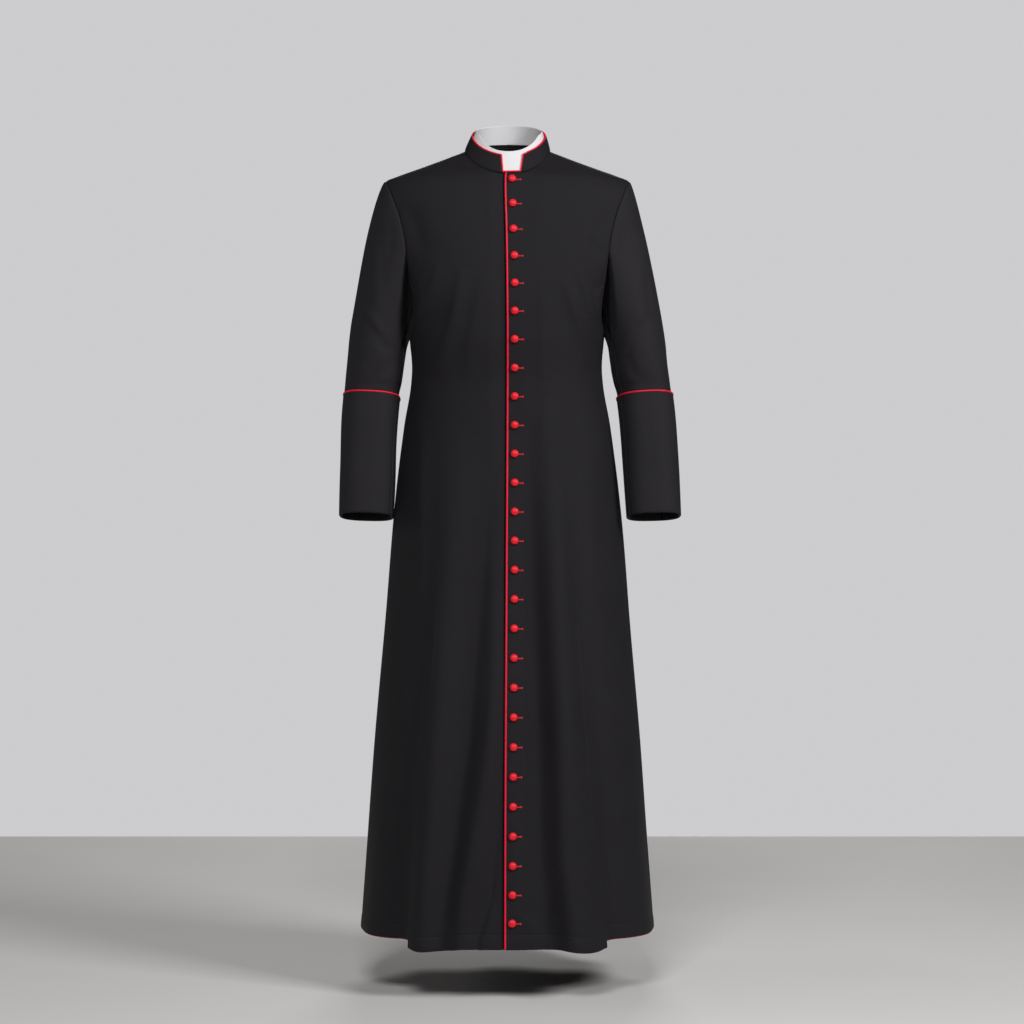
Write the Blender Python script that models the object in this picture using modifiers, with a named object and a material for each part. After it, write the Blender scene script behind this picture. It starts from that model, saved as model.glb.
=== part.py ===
"""Cassock with piped edges, covered buttons, deep turned-back cuffs and a white collar insert.

The garment keeps the hollow form it has when worn. The origin is the middle of the neck opening at
the height of the side neck points. -Y is the wearer's front and +X the wearer's left. Heights are
given as drops: distances below the origin. Every panel lies on one body form, a ring at each drop.
"""

import math

import bmesh
import bpy
import numpy as np
from mathutils import Vector
from mathutils.bvhtree import BVHTree

NAME = "cassock"

# Cloth and gaps, in metres
WALL = 0.0016  # cloth with its turnings, centred on the panel's surface
HALF_GAP = 0.00045  # each panel stops this far short of a seam line
SHOULDER_GAP = 0.0004
SLEEVE_GAP = 0.0009
REST = 0.0003  # what lies on cloth stays this far from it

# Body lengths, as drops below the side neck points
SIDE_NECK = -0.002
SHOULDER_TIP = 0.0571
SEAM_START = 0.25  # where the princess seams leave the armholes
UNDERARM = 0.352
FRONT_HEM, SIDE_HEM, BACK_HEM = 1.469, 1.461, 1.464
FRONT_DIP = 0.007  # how much lower the front hem hangs at its folds

# Front closing
NECK_SHIFT = 0.004  # the neck opening sits this far towards the wearer's left
LEFT_EDGE = 0.003  # how far the left front passes the middle
RIGHT_EDGE = 0.035  # how far the right front runs on under it
UNDERLAP_DROP = 0.0031  # how much lower the right front lies there
NOTCH_RIGHT, NOTCH_LEFT = -0.0077, 0.0230  # the collar's ends at the neck seam
NOTCH_FLARE = 0.0045  # how much further apart each end is at the top edge

# Mesh counts
NECK_PARTS, BACK_NECK_PARTS, SHOULDER_PARTS = 5, 3, 4
ARM_ROWS, LONG_ROWS, LOW_ARM_PARTS = 7, 20, 8
CAP_ROWS = 8

PIPING = 0.0016  # radius of the piping
HEM_TAPE_TALL, HEM_TAPE_SHOWS, HEM_TAPE_WALL = 0.010, 0.0012, 0.0008
HEM_TAPE_IN, HEM_TAPE_END = 0.0019, 0.0015  # behind the cloth, and short of its seams
BUTTON_RADIUS, BUTTON_HEIGHT = 0.0074, 0.0052
SHANK_RADIUS, SHANK = 0.0017, 0.0024
BUTTON_COUNT, BUTTON_SIDES = 27, 8
FIRST_BUTTON = 0.0620  # drop
BUTTON_STEPS = dict(button=[1, 3, 6, 10, 20, 24, 26], step=[.0464, .0500, .0522, .0533, .0536, .0526, .0503])
BUTTON_LINE = dict(drop=[.06, .15, .24, .60, 1.10, 1.42], out=[.0088, .0108, .0135, .0133, .0107, .0086])

# The body form: half width to the side, depth to the front and the back, and how square a ring is
FORM = dict(
    drop=[-.030, -.018, -.002, .0117, .030, .0495, .0571, .080, .100, .137, .189, .239, .300, .352,
          .410, .440, .5165, .630, .715, .885, 1.112, 1.310, 1.470],
    half_width=[.050, .063, .0765, .1085, .1575, .2110, .2290, .248, .252, .247, .236, .221, .199,
                .182, .1785, .1805, .1938, .2089, .2175, .2307, .2496, .2647, .277],
    front=[.025, .036, .045, .052, .065, .082, .086, .094, .099, .107, .116, .122, .125, .124,
           .118, .116, .120, .134, .146, .170, .203, .229, .248],
    back=[.045, .058, .062, .069, .080, .090, .093, .101, .107, .116, .124, .125, .119, .111,
          .101, .099, .108, .136, .155, .183, .221, .254, .280],
)
SQUARENESS = dict(drop=[0.0, .30, .70, 1.47], power=[2.25, 2.3, 2.25, 2.1])

# Neck seam: share of the way out to the side neck point, and drop
NECK_FRONT = dict(out=[0, .22, .40, .60, .77, .89, .96, 1],
                  drop=[.049, .048, .0455, .039, .031, .0195, .008, SIDE_NECK])
NECK_BACK = dict(out=[0, .40, .70, .90, 1], drop=[-.018, -.0165, -.012, -.006, SIDE_NECK])

# Armhole, seen from the front and from the back
ARMHOLE_FRONT = dict(drop=[SHOULDER_TIP, .074, .137, .189, SEAM_START, .313, UNDERARM],
                     out=[.2290, .222, .198, .187, .181, .1765, .1818])
ARMHOLE_BACK = dict(drop=[SHOULDER_TIP, .080, .137, .189, SEAM_START, .313, UNDERARM],
                    out=[.2290, .219, .202, .193, .187, .181, .1818])

# Princess seams between front and side, and between side and back
FRONT_SEAM = dict(drop=[SEAM_START, .30, .352, .43, .60, .885, 1.035, 1.13, 1.247, 1.33, 1.475],
                  out=[.181, .156, .139, .124, .125, .132, .141, .148, .159, .168, .179])
BACK_SEAM = dict(drop=[SEAM_START, .30, .352, .43, .60, .885, 1.10, 1.30, 1.475],
                 out=[.187, .160, .141, .120, .121, .130, .142, .156, .168])

# Skirt folds, one row each: (angle where it starts, angle at the hem, starting drop, width, height
# at the hem). Angles are in degrees round the body from the front towards the wearer's left.
FOLDS = [
    (34, 34, 0.55, 8.0, 0.020),
    (-34, -34, 0.50, 8.0, 0.021),
    (22, 22, 0.60, 5.0, -0.012),
    (-8, -26, 0.75, 5.0, -0.010),
    (-6, -16, 1.00, 4.5, 0.008),
    (47, 48, 0.70, 5.0, -0.009),
    (-47, -48, 0.65, 5.0, -0.014),
    (64, 66, 0.80, 9.0, 0.006),
    (-62, -64, 0.80, 9.0, 0.007),
    (108, 110, 0.60, 8.0, 0.013),
    (-112, -114, 0.65, 8.5, 0.014),
    (124, 127, 0.55, 6.5, -0.013),
    (-128, -131, 0.60, 7.0, -0.012),
    (142, 145, 0.50, 8.0, 0.018),
    (-146, -148, 0.50, 8.5, 0.017),
    (158, 161, 0.60, 6.0, -0.011),
    (-163, -165, 0.70, 6.0, -0.012),
    (176, 179, 0.55, 7.0, 0.012),
]

# Sleeve tube below the arm: drop and place of each ring's middle, its half sizes, how far its
# front is tipped up and its outer side is raised
ARM = dict(
    drop=[.375, .430, .456, .520, .600, .692],
    out=[.2475, .2518, .2556, .2602, .2628, .2645],
    forward=[-.002, .000, .002, .012, .027, .044],
    half_out=[.0515, .0520, .0502, .0500, .0495, .0480],
    half_deep=[.0720, .0640, .0590, .0560, .0510, .0455],
    tip=[0, 4, 9, 10, 10, 10],
    lean=[7, 5, 3, 2.5, 2, 1.5],
)
ARM_REACH = dict(drop=[.41, .49, .60, .692], out=[0, .004, .0075, .010])  # the left arm's only
ELBOW, WRIST = 0.458, 0.690
ARM_LEVELS = [.375, .403, .430, .456, .488, .540, .590, .640, WRIST]
CUFF_LEVELS = [ELBOW, .515, .575, .635, .6925]
CUFF_OUT = 0.0026  # the cuff's surface lies this far outside the sleeve's
ARMHOLE_MIDDLE = 0.205  # drop of the point the sleeve's angles are taken about
CAP_FULLNESS = {1: 0.030, -1: 0.055}  # how far each sleeve head swells out past the shoulder
FOREARM_SEAM, HIND_SEAM = 8, 17  # the sleeve's seams, as armhole points counted from the tip

# Collar: top edge as an ellipse about the neck's middle
COLLAR_TOP = dict(half_width=.0683, front=.061, back=.061, middle=-.011, side_drop=-.026,
                  front_drop=.0165, back_drop=-.052)
COLLAR_LIFT = 0.0011
COLLAR_EDGE = 0.0005  # how far a leaning edge's corner rises
INSERT_IN, INSERT_WALL = 0.0027, 0.0014
INSERT_ABOVE_FRONT, INSERT_ABOVE_BACK = 0.0085, 0.0110
INSERT_FOOT = 0.0024  # how far its lower edge is above the neck seam

COLOURS = dict(cloth=(0.018, 0.017, 0.018, 1), trim=(0.70, 0.025, 0.045, 1), white=(0.86, 0.86, 0.87, 1))


# ---------------------------------------------------------------- curves and the body form

def along(table, column, at, key="drop"):
    """Smooth curve through a table's column that never overshoots its rows, held at its ends."""
    xs = np.asarray(table[key], float)
    ys = np.asarray(table[column], float)
    at = np.clip(np.asarray(at, float), xs[0], xs[-1])
    step = np.diff(xs)
    slope = np.diff(ys) / step
    same_way = slope[:-1] * slope[1:]
    total = np.where(same_way > 0, slope[:-1] + slope[1:], 1.0)
    tangent = np.concatenate((slope[:1], np.where(same_way > 0, 2 * same_way / total, 0.0), slope[-1:]))
    i = np.clip(np.searchsorted(xs, at, side="right") - 1, 0, len(xs) - 2)
    t = (at - xs[i]) / step[i]
    return (ys[i] * (1 + 2 * t) * (1 - t) ** 2 + tangent[i] * step[i] * t * (1 - t) ** 2
            + ys[i + 1] * t * t * (3 - 2 * t) - tangent[i + 1] * step[i] * t * t * (1 - t))


def ramp(value, start, end):
    """0 before start, 1 after end, smooth between."""
    t = np.clip((value - start) / (end - start), 0, 1)
    return t * t * (3 - 2 * t)


def lerp(a, b, t):
    return a + (b - a) * t


def angle_at(out, drop, back=False):
    """Angle round the body, in radians, of the point this far out at this drop."""
    power = along(SQUARENESS, "power", drop)
    half = along(FORM, "half_width", drop)
    depth = along(FORM, "back" if back else "front", drop)
    share = np.clip(np.abs(out) / half, 0, 1)
    deep = depth * (1 - share ** power) ** (1 / power)
    return np.arctan2(out, -deep if back else deep)


def fold_height(angle, drop):
    """How far the skirt's folds carry the cloth outwards."""
    degrees = np.degrees(angle)
    total = np.zeros(np.broadcast(angle, drop).shape)
    for start_angle, hem_angle, start, width, height in FOLDS:
        down = np.clip((drop - start) / (FRONT_HEM - start), 0, 1)
        middle = lerp(start_angle, hem_angle, down)
        away = (degrees - middle + 180) % 360 - 180
        total = total + height * down ** 1.3 * np.exp(-(away / width) ** 2)
    return total


def body(angle, drop, inset=0.0):
    """Points of the body form, folds and all, moved in by inset."""
    angle, drop = np.broadcast_arrays(np.asarray(angle, float), np.asarray(drop, float))
    power = along(SQUARENESS, "power", drop)
    half = along(FORM, "half_width", drop)
    depth = np.where(np.abs(angle) > math.pi / 2, along(FORM, "back", drop), along(FORM, "front", drop))
    across, ahead = np.abs(np.sin(angle)), np.abs(np.cos(angle))
    radius = ((across / half) ** power + (ahead / depth) ** power) ** (-1 / power)
    radius = radius + fold_height(angle, drop) - inset
    return np.stack((radius * np.sin(angle), -radius * np.cos(angle), -drop), -1)


# ---------------------------------------------------------------- panel grids

def arm_drops():
    """Drops of the rows between the shoulder and the start of the princess seam."""
    return lerp(SHOULDER_TIP, SEAM_START, (np.arange(ARM_ROWS + 1) / ARM_ROWS) ** 1.5)


def long_drops(hem):
    """Drops of the rows from the start of the princess seam to the hem."""
    share = np.arange(LONG_ROWS + 1) / LONG_ROWS
    drops = lerp(SEAM_START, SIDE_HEM, share ** 1.15)
    drops[-1] = hem
    return drops


def neck_drop(out, side, back=False):
    """Drop of the neck seam this far out to a side."""
    shift = NECK_SHIFT * side
    limit = along(FORM, "half_width", SIDE_NECK)
    share = np.clip(np.abs(out - shift) / (limit - shift), 0, 1)
    return along(NECK_BACK if back else NECK_FRONT, "drop", share, key="out")


def neck_places(side, back):
    """(out, drop) of the neck seam's points from the middle or the edge to the side neck point."""
    shift = NECK_SHIFT * side
    reach = float(along(FORM, "half_width", SIDE_NECK)) - shift
    if back:
        first, turns = [0.0], np.linspace(0, math.pi / 2, BACK_NECK_PARTS + 1)[1:]
    else:
        first = [-LEFT_EDGE, NOTCH_LEFT] if side > 0 else [-RIGHT_EDGE, -NOTCH_RIGHT]
        begin = math.asin((first[1] - shift) / reach)
        turns = np.linspace(begin, math.pi / 2, NECK_PARTS)[1:]
    outs = np.append(first, shift + reach * np.sin(turns))
    return outs, neck_drop(outs, side, back)


def shoulder_places():
    """(out, drop) of the shoulder seam's points after the side neck point."""
    share = np.arange(1, SHOULDER_PARTS + 1) / SHOULDER_PARTS
    drops = lerp(SIDE_NECK, SHOULDER_TIP, share)
    return along(FORM, "half_width", drops), drops


def coons(top, bottom, left, right, down):
    """Fills a patch between four border curves, its rows this share of the way down."""
    v = np.asarray(down)[:, None, None]
    u = np.linspace(0, 1, len(top))[None, :, None]
    ruled_down = lerp(top[None], bottom[None], v)
    ruled_across = lerp(left[:, None], right[:, None], u)
    corners = lerp(lerp(top[0], top[-1], u), lerp(bottom[0], bottom[-1], u), v)
    return ruled_down + ruled_across - corners


def long_rows(edge_angles, seam_angles, columns, drops):
    """(angle, drop) of the rows that run level from one edge to the other."""
    u = np.linspace(0, 1, columns)[None, :]
    angles = lerp(edge_angles[:, None], seam_angles[:, None], u)
    return angles, np.broadcast_to(drops[:, None], angles.shape)


def half_panel(side, back):
    """(angle, drop) grid of a front or a back, drawn for the wearer's left."""
    neck_out, neck_down = neck_places(side, back)
    shoulder_out, shoulder_drop = shoulder_places()
    edge = neck_out[0]
    seam, armhole = (BACK_SEAM, ARMHOLE_BACK) if back else (FRONT_SEAM, ARMHOLE_FRONT)
    drops = long_drops(BACK_HEM if back else FRONT_HEM)
    edge_angles = angle_at(np.full(len(drops), edge), drops, back)
    seam_angles = angle_at(along(seam, "out", drops), drops, back)
    columns = len(neck_out) + len(shoulder_out)
    low_angles, low_drops = long_rows(edge_angles, seam_angles, columns, drops)

    top = np.column_stack((np.append(neck_out, shoulder_out), np.append(neck_down, shoulder_drop)))
    bottom_point = body(low_angles[0], low_drops[0])
    bottom = np.column_stack((bottom_point[:, 0], low_drops[0]))
    share = (arm_drops() - SHOULDER_TIP) / (SEAM_START - SHOULDER_TIP)
    left = np.column_stack((np.full(ARM_ROWS + 1, edge), lerp(neck_down[0], SEAM_START, share)))
    right = np.column_stack((along(armhole, "out", arm_drops()), arm_drops()))
    upper = coons(top, bottom, left, right, share)
    upper_angles = angle_at(upper[..., 0], upper[..., 1], back)
    angles, drops = np.vstack((upper_angles[:-1], low_angles)), np.vstack((upper[:-1, :, 1], low_drops))
    if not back:
        drops[-1] += FRONT_DIP * np.exp(-((np.degrees(angles[-1]) - 34) / 10) ** 2)
    return angles, drops


def low_armhole():
    """(angle, drop) of the armhole's points under the arm, from the front seam to the back one."""
    share = np.linspace(0, 1, LOW_ARM_PARTS + 1)
    drops = lerp(SEAM_START, UNDERARM, np.sin(math.pi * share) ** 0.8)
    front = angle_at(along(ARMHOLE_FRONT, "out", drops), drops)
    rear = angle_at(along(ARMHOLE_BACK, "out", drops), drops, back=True)
    angles = np.where(share < 0.5, front, rear)
    angles[LOW_ARM_PARTS // 2] = math.pi / 2
    return angles, drops


def side_panel():
    """(angle, drop) grid of a side panel."""
    drops = long_drops(SIDE_HEM)
    front = angle_at(along(FRONT_SEAM, "out", drops), drops)
    rear = angle_at(along(BACK_SEAM, "out", drops), drops, back=True)
    columns = LOW_ARM_PARTS + 1
    angles, rows = long_rows(front, rear, columns, drops)
    level = LONG_ROWS // 3
    top = np.column_stack(low_armhole())
    bottom = np.column_stack((angles[level], rows[level]))
    left = np.column_stack((front[:level + 1], drops[:level + 1]))
    right = np.column_stack((rear[:level + 1], drops[:level + 1]))
    upper = coons(top, bottom, left, right, np.linspace(0, 1, level + 1))
    return np.vstack((upper[:-1, :, 0], angles[level:])), np.vstack((upper[:-1, :, 1], rows[level:]))


def pull_in(points, gap, first=True, last=True, axis=1):
    """Moves a grid's border points towards the next ones, to leave a gap at the seam."""
    grid = np.moveaxis(points.copy(), axis, 0)
    for edge, inner, wanted in ((0, 1, first), (-1, -2, last)):
        if wanted:
            away = grid[inner] - grid[edge]
            grid[edge] += away * gap / np.linalg.norm(away, axis=-1, keepdims=True)
    return np.moveaxis(grid, 0, axis)


def mirrored(points, side):
    return points * np.array((side, 1, 1))


def front_points(side):
    """A front's grid. The right front sinks where the left one covers it."""
    angles, drops = half_panel(side, back=False)
    inset = 0.0
    if side < 0:
        out = body(angles, drops)[..., 0]
        inset = UNDERLAP_DROP * (1 - ramp(out, 0.010, 0.034))
    points = body(angles * side, drops, inset)
    points = pull_in(points, SHOULDER_GAP, last=False, axis=0)
    return pull_in(points, HALF_GAP, first=False)


def back_points(side):
    angles, drops = half_panel(side, back=True)
    points = body(angles * side, drops)
    points = pull_in(points, SHOULDER_GAP, last=False, axis=0)
    return pull_in(points, HALF_GAP)


def side_points(side):
    angles, drops = side_panel()
    points = body(angles * side, drops)
    points = pull_in(points, HALF_GAP, last=False, axis=0)
    return pull_in(points, HALF_GAP)


# ---------------------------------------------------------------- sleeves and cuffs

def armhole_loop(side):
    """Points round the armhole: from the shoulder tip down the front, under the arm and up the back."""
    drops = arm_drops()
    front = np.column_stack((angle_at(along(ARMHOLE_FRONT, "out", drops), drops), drops))
    rear = np.column_stack((angle_at(along(ARMHOLE_BACK, "out", drops), drops, back=True), drops))
    under = np.column_stack(low_armhole())
    places = np.vstack((front, under[1:], rear[-2:0:-1]))
    return body(places[:, 0] * side, places[:, 1])


def arm_angles(loop):
    """Angle round the arm of each armhole point: 0 outside, a quarter turn at the front."""
    return np.unwrap(np.arctan2(-loop[:, 1], ARMHOLE_MIDDLE + loop[:, 2]))


def arm_ring(angles, drop, side, out=0.0):
    """Points of the sleeve's ring at this drop, moved out by out."""
    level = {name: along(ARM, name, drop) for name in ARM if name != "drop"}
    reach = along(ARM_REACH, "out", drop) if side > 0 else 0.0
    tip, lean = math.radians(level["tip"]), math.radians(level["lean"])
    middle = np.array((level["out"] + reach, -level["forward"], -float(drop)))
    sideways = np.array((math.cos(lean), 0, math.sin(lean)))
    ahead = np.array((0, -math.cos(tip), math.sin(tip)))
    wide = (level["half_out"] + out) * np.cos(angles)[:, None] * sideways
    deep = (level["half_deep"] + out) * np.sin(angles)[:, None] * ahead
    return mirrored(middle + wide + deep, side)


def sleeve_head(loop, angles, side, shares):
    """Rows that carry the armhole's points out and down to the first ring of the tube."""
    under = (1 - np.cos(angles))[:, None] / 2
    shift = lerp(0.0010, 0.0022, under) * np.array((side, 0, 0))
    start = loop + shift
    end = arm_ring(angles, ARM_LEVELS[0], side)
    length = np.linalg.norm(end - start, axis=1, keepdims=True)
    forward = np.sin(angles)[:, None]
    leave = np.hstack((side * lerp(1.0, 0.45, under), -0.25 * forward, lerp(-0.12, -0.9, under)))
    leave = leave * lerp(CAP_FULLNESS[side], 0.03, under)
    arrive = np.array((side * 0.11, -0.0, -1.0)) * length * 0.9
    t = np.asarray(shares)[:, None, None]
    return (start * (1 + 2 * t) * (1 - t) ** 2 + leave * t * (1 - t) ** 2
            + end * t * t * (3 - 2 * t) - arrive * t * t * (1 - t))


def sleeve_points(side):
    """The whole sleeve as rows down the arm of points round it, counted like the armhole's."""
    loop = armhole_loop(side)
    angles = arm_angles(loop)
    shares = (np.arange(CAP_ROWS) / CAP_ROWS) ** 1.25
    head = sleeve_head(loop, angles, side, shares)
    tube = np.stack([arm_ring(angles, drop, side) for drop in ARM_LEVELS])
    return np.vstack((head, tube))


def sleeve_part(side, under):
    whole = sleeve_points(side)
    count = whole.shape[1]
    if under:
        picked = np.arange(FOREARM_SEAM, HIND_SEAM + 1)
    else:
        picked = np.arange(HIND_SEAM, count + FOREARM_SEAM + 1) % count
    return pull_in(whole[:, picked], SLEEVE_GAP)


def cuff_points(side):
    angles = arm_angles(armhole_loop(side))
    return np.stack([arm_ring(angles, drop, side, CUFF_OUT) for drop in CUFF_LEVELS])


# ---------------------------------------------------------------- collar and its insert

def neck_loop():
    """The neck seam from the notch's right end round the back to its left end."""
    halves = []
    for side in (-1, 1):
        out, drop = neck_places(side, back=False)
        front = body(angle_at(out[1:], drop[1:]) * side, drop[1:])
        out, drop = neck_places(side, back=True)
        rear = body(angle_at(out[:-1], drop[:-1], back=True) * side, drop[:-1])
        halves.append((front, rear))
    (right_front, right_back), (left_front, left_back) = halves
    return np.vstack((right_front, right_back[::-1], left_back[1:], left_front[::-1]))


def collar_top(base, flare=None):
    """Top edge of the collar above each point of its base."""
    top = COLLAR_TOP
    turn = np.arctan2(base[:, 0] - NECK_SHIFT, -(base[:, 1] - top["middle"]))
    ahead = np.cos(turn)
    depth = np.where(ahead > 0, top["front"], top["back"])
    reach = np.where(ahead > 0, top["front_drop"], top["back_drop"]) - top["side_drop"]
    drop = top["side_drop"] + reach * np.abs(ahead) ** 1.2
    x = 0.6 * NECK_SHIFT + top["half_width"] * np.sin(turn)
    if flare is not None:
        x = x + flare
    return np.column_stack((x, top["middle"] - depth * ahead, -drop))


def collar_points():
    base = neck_loop()
    flare = np.zeros(len(base))
    flare[0], flare[-1] = -NOTCH_FLARE / 2, NOTCH_FLARE / 2
    top = collar_top(base, flare)
    base = base + np.array((0, 0, COLLAR_LIFT))
    return np.stack([lerp(top, base, t) for t in (0, 0.5, 1)])


def inward(points, distance):
    """Moves points towards the neck's middle, level."""
    middle = np.array((NECK_SHIFT, COLLAR_TOP["middle"], 0))
    away = (points - middle) * np.array((1, 1, 0))
    return points - away * distance / np.linalg.norm(away, axis=-1, keepdims=True)


def insert_points():
    """Closed band inside the collar, higher than it and showing in its notch."""
    base = neck_loop()
    out = np.linspace(NOTCH_LEFT, NOTCH_RIGHT, 4)[1:-1]
    drop = neck_drop(out, 1)
    base = np.vstack((base, body(angle_at(out, drop), drop)))
    top = collar_top(base)
    rearward = (1 - np.cos(np.arctan2(base[:, 0], -base[:, 1])))[:, None] / 2
    above = lerp(INSERT_ABOVE_FRONT, INSERT_ABOVE_BACK, np.clip(2 * rearward, 0, 1))
    rise = (top - base)[:, 2:]
    rows = np.stack([lerp(base, top, t) for t in (1 + above / rise, 1, 0.5, INSERT_FOOT / rise)])
    return inward(rows, INSERT_IN)


def collar_piping_path():
    """Closed path just above the collar's top edge, down its ends and along the notch's foot."""
    rows = collar_points()
    out = PIPING + REST + COLLAR_EDGE
    top = rows[0] + np.array((0, 0, out))
    into_notch = np.array((out, 0, 0))
    down_right = rows[:, 0] + into_notch
    down_left = rows[::-1, -1] - into_notch
    down_right[0] = top[0] + into_notch * 0.6
    down_left[-1] = top[-1] - into_notch * 0.6
    foot = np.array((0, 0, out - COLLAR_LIFT / 2))
    down_right[-1] += foot
    down_left[0] += foot
    middle = (down_right[-1:] + down_left[:1]) / 2 - np.array((0, 0.0004, 0.0004))
    return np.vstack((top, down_left[::-1], middle, down_right[::-1]))


# ---------------------------------------------------------------- objects

def material(name, colour, roughness):
    made = bpy.data.materials.new(name)
    made.use_nodes = True
    shader = made.node_tree.nodes["Principled BSDF"]
    shader.inputs["Base Color"].default_value = colour
    shader.inputs["Roughness"].default_value = roughness
    shader.inputs["Metallic"].default_value = 0.0
    return made


def add(name, data, collection, colour, roughness):
    placed = bpy.data.objects.new(name, data)
    data.materials.append(material(name + "_finish", COLOURS[colour], roughness))
    collection.objects.link(placed)
    return placed


def sheet(name, points, collection, colour="cloth", wall=WALL, closed=False):
    """A wall of cloth: a grid laid on the points, with a closed one joined at its ends."""
    rows, columns = points.shape[:2]
    mesh = bmesh.new()
    bmesh.ops.create_grid(mesh, x_segments=columns - (0 if closed else 1), y_segments=rows - 1, size=1)
    wide = columns if closed else columns - 1
    for vert in mesh.verts:
        column = round((vert.co.x + 1) / 2 * wide)
        row = round((1 - vert.co.y) / 2 * (rows - 1))
        vert.co = Vector(points[row, column % columns])
    bmesh.ops.remove_doubles(mesh, verts=mesh.verts, dist=0.00001)
    bmesh.ops.recalc_face_normals(mesh, faces=mesh.faces)
    data = bpy.data.meshes.new(name)
    mesh.to_mesh(data)
    mesh.free()
    data.shade_smooth()
    placed = add(name, data, collection, colour, 0.85)
    solid = placed.modifiers.new("wall", "SOLIDIFY")
    solid.thickness = wall
    solid.offset = 0.0
    solid.use_rim = True
    return placed


def tube(name, path, collection, radius=PIPING, closed=False):
    curve = bpy.data.curves.new(name, "CURVE")
    curve.dimensions = "3D"
    curve.bevel_depth = radius
    curve.bevel_resolution = 1
    curve.use_fill_caps = True
    spline = curve.splines.new("POLY")
    spline.points.add(len(path) - 1)
    for point, place in zip(spline.points, path):
        point.co = (*place, 1)
    spline.use_cyclic_u = closed
    return add(name, curve, collection, "trim", 0.6)


def front_piping_path(points):
    """Runs down the left front's free edge, clear of it."""
    edge, inner = points[:, 0], points[:, 1]
    away = edge - inner
    away = away / np.linalg.norm(away, axis=1, keepdims=True)
    path = edge + away * (PIPING + REST)
    path[0] = lerp(path[0], path[1], 0.35)
    return path


def button_mesh():
    """A domed button with a short shank, as a profile turned round its own Z."""
    dome = [(math.sin(t) * BUTTON_RADIUS, math.cos(t) * BUTTON_HEIGHT) for t in np.radians((0, 32, 62, 90))]
    rim = [(BUTTON_RADIUS * 0.8, -SHANK * 0.4), (SHANK_RADIUS * 1.2, -SHANK * 0.6)]
    profile = dome + rim + [(SHANK_RADIUS, -SHANK), (0.0, -SHANK)]
    data = bpy.data.meshes.new("button")
    verts = [(x, 0, z) for x, z in profile]
    data.from_pydata(verts, [(i, i + 1) for i in range(len(verts) - 1)], [])
    return data


def button_drops():
    steps = along(BUTTON_STEPS, "step", np.arange(1, BUTTON_COUNT), key="button")
    return FIRST_BUTTON + np.concatenate(([0], np.cumsum(steps)))


def button_out(drop):
    """How far the row of buttons lies to the wearer's left."""
    return along(BUTTON_LINE, "out", drop)


def add_buttons(front, collection):
    """Seats each button on the left front, turned to face away from it."""
    depsgraph = bpy.context.evaluated_depsgraph_get()
    cloth = BVHTree.FromObject(front, depsgraph)
    for number, drop in enumerate(button_drops(), 1):
        start = Vector((float(button_out(drop)), -0.6, -float(drop)))
        seat, facing, _, _ = cloth.ray_cast(start, Vector((0, 1, 0)))
        placed = add(f"button_{number:02d}", button_mesh(), collection, "trim", 0.45)
        placed.location = seat + facing * (SHANK + REST)
        placed.rotation_mode = "QUATERNION"
        placed.rotation_quaternion = facing.to_track_quat("Z", "Y")
        turn = placed.modifiers.new("turn", "SCREW")
        turn.steps = BUTTON_SIDES
        turn.render_steps = BUTTON_SIDES
        turn.use_merge_vertices = True
        turn.merge_threshold = 0.00001
        turn.use_smooth_shade = True


def hem_tape_points(side):
    """A strip inside the side panel's hem that shows just below it."""
    points = pull_in(side_points(side), HEM_TAPE_END)
    hem, above = points[-1], points[-2]
    up = (above - hem) / np.linalg.norm(above - hem, axis=1, keepdims=True)
    inner = hem * np.array((1, 1, 0))
    inner = hem - inner * HEM_TAPE_IN / np.linalg.norm(inner, axis=1, keepdims=True)
    return np.stack((inner + up * HEM_TAPE_TALL, inner - up * HEM_TAPE_SHOWS))


def build():
    for old in list(bpy.data.objects):
        bpy.data.objects.remove(old, do_unlink=True)
    collection = bpy.data.collections.new(NAME)
    bpy.context.scene.collection.children.link(collection)

    for side, word in ((1, "left"), (-1, "right")):
        sheet("front_" + word, front_points(side), collection)
        sheet("side_" + word, side_points(side), collection)
        sheet("back_" + word, back_points(side), collection)
        sheet("sleeve_upper_" + word, sleeve_part(side, under=False), collection)
        sheet("sleeve_under_" + word, sleeve_part(side, under=True), collection)
        sheet("cuff_" + word, cuff_points(side), collection, closed=True)
        ring = arm_ring(arm_angles(armhole_loop(side)), ELBOW - PIPING - 0.0002, side, CUFF_OUT + 0.0004)
        tube("cuff_piping_" + word, ring, collection, closed=True)
        sheet("hem_tape_" + word, hem_tape_points(side), collection, "trim", wall=HEM_TAPE_WALL)

    sheet("collar", collar_points(), collection)
    sheet("collar_insert", insert_points(), collection, "white", wall=INSERT_WALL, closed=True)
    tube("collar_piping", collar_piping_path(), collection, closed=True)
    tube("front_piping", front_piping_path(front_points(1)), collection)
    bpy.context.view_layer.update()
    add_buttons(bpy.data.objects["front_left"], collection)


build()
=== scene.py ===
"""Looks of the cassock: fine cloth panels with their folds, seams, piping, buttons and finishes.

Lengths are metres. -Y is the wearer's front and +X the wearer's left. Heights are given as drops,
distances below the neck's side points. Every panel lies on one body form, a ring at each drop.
"""

import math

import bmesh
import bpy
import numpy as np
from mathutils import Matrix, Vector
from mathutils.bvhtree import BVHTree


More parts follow.
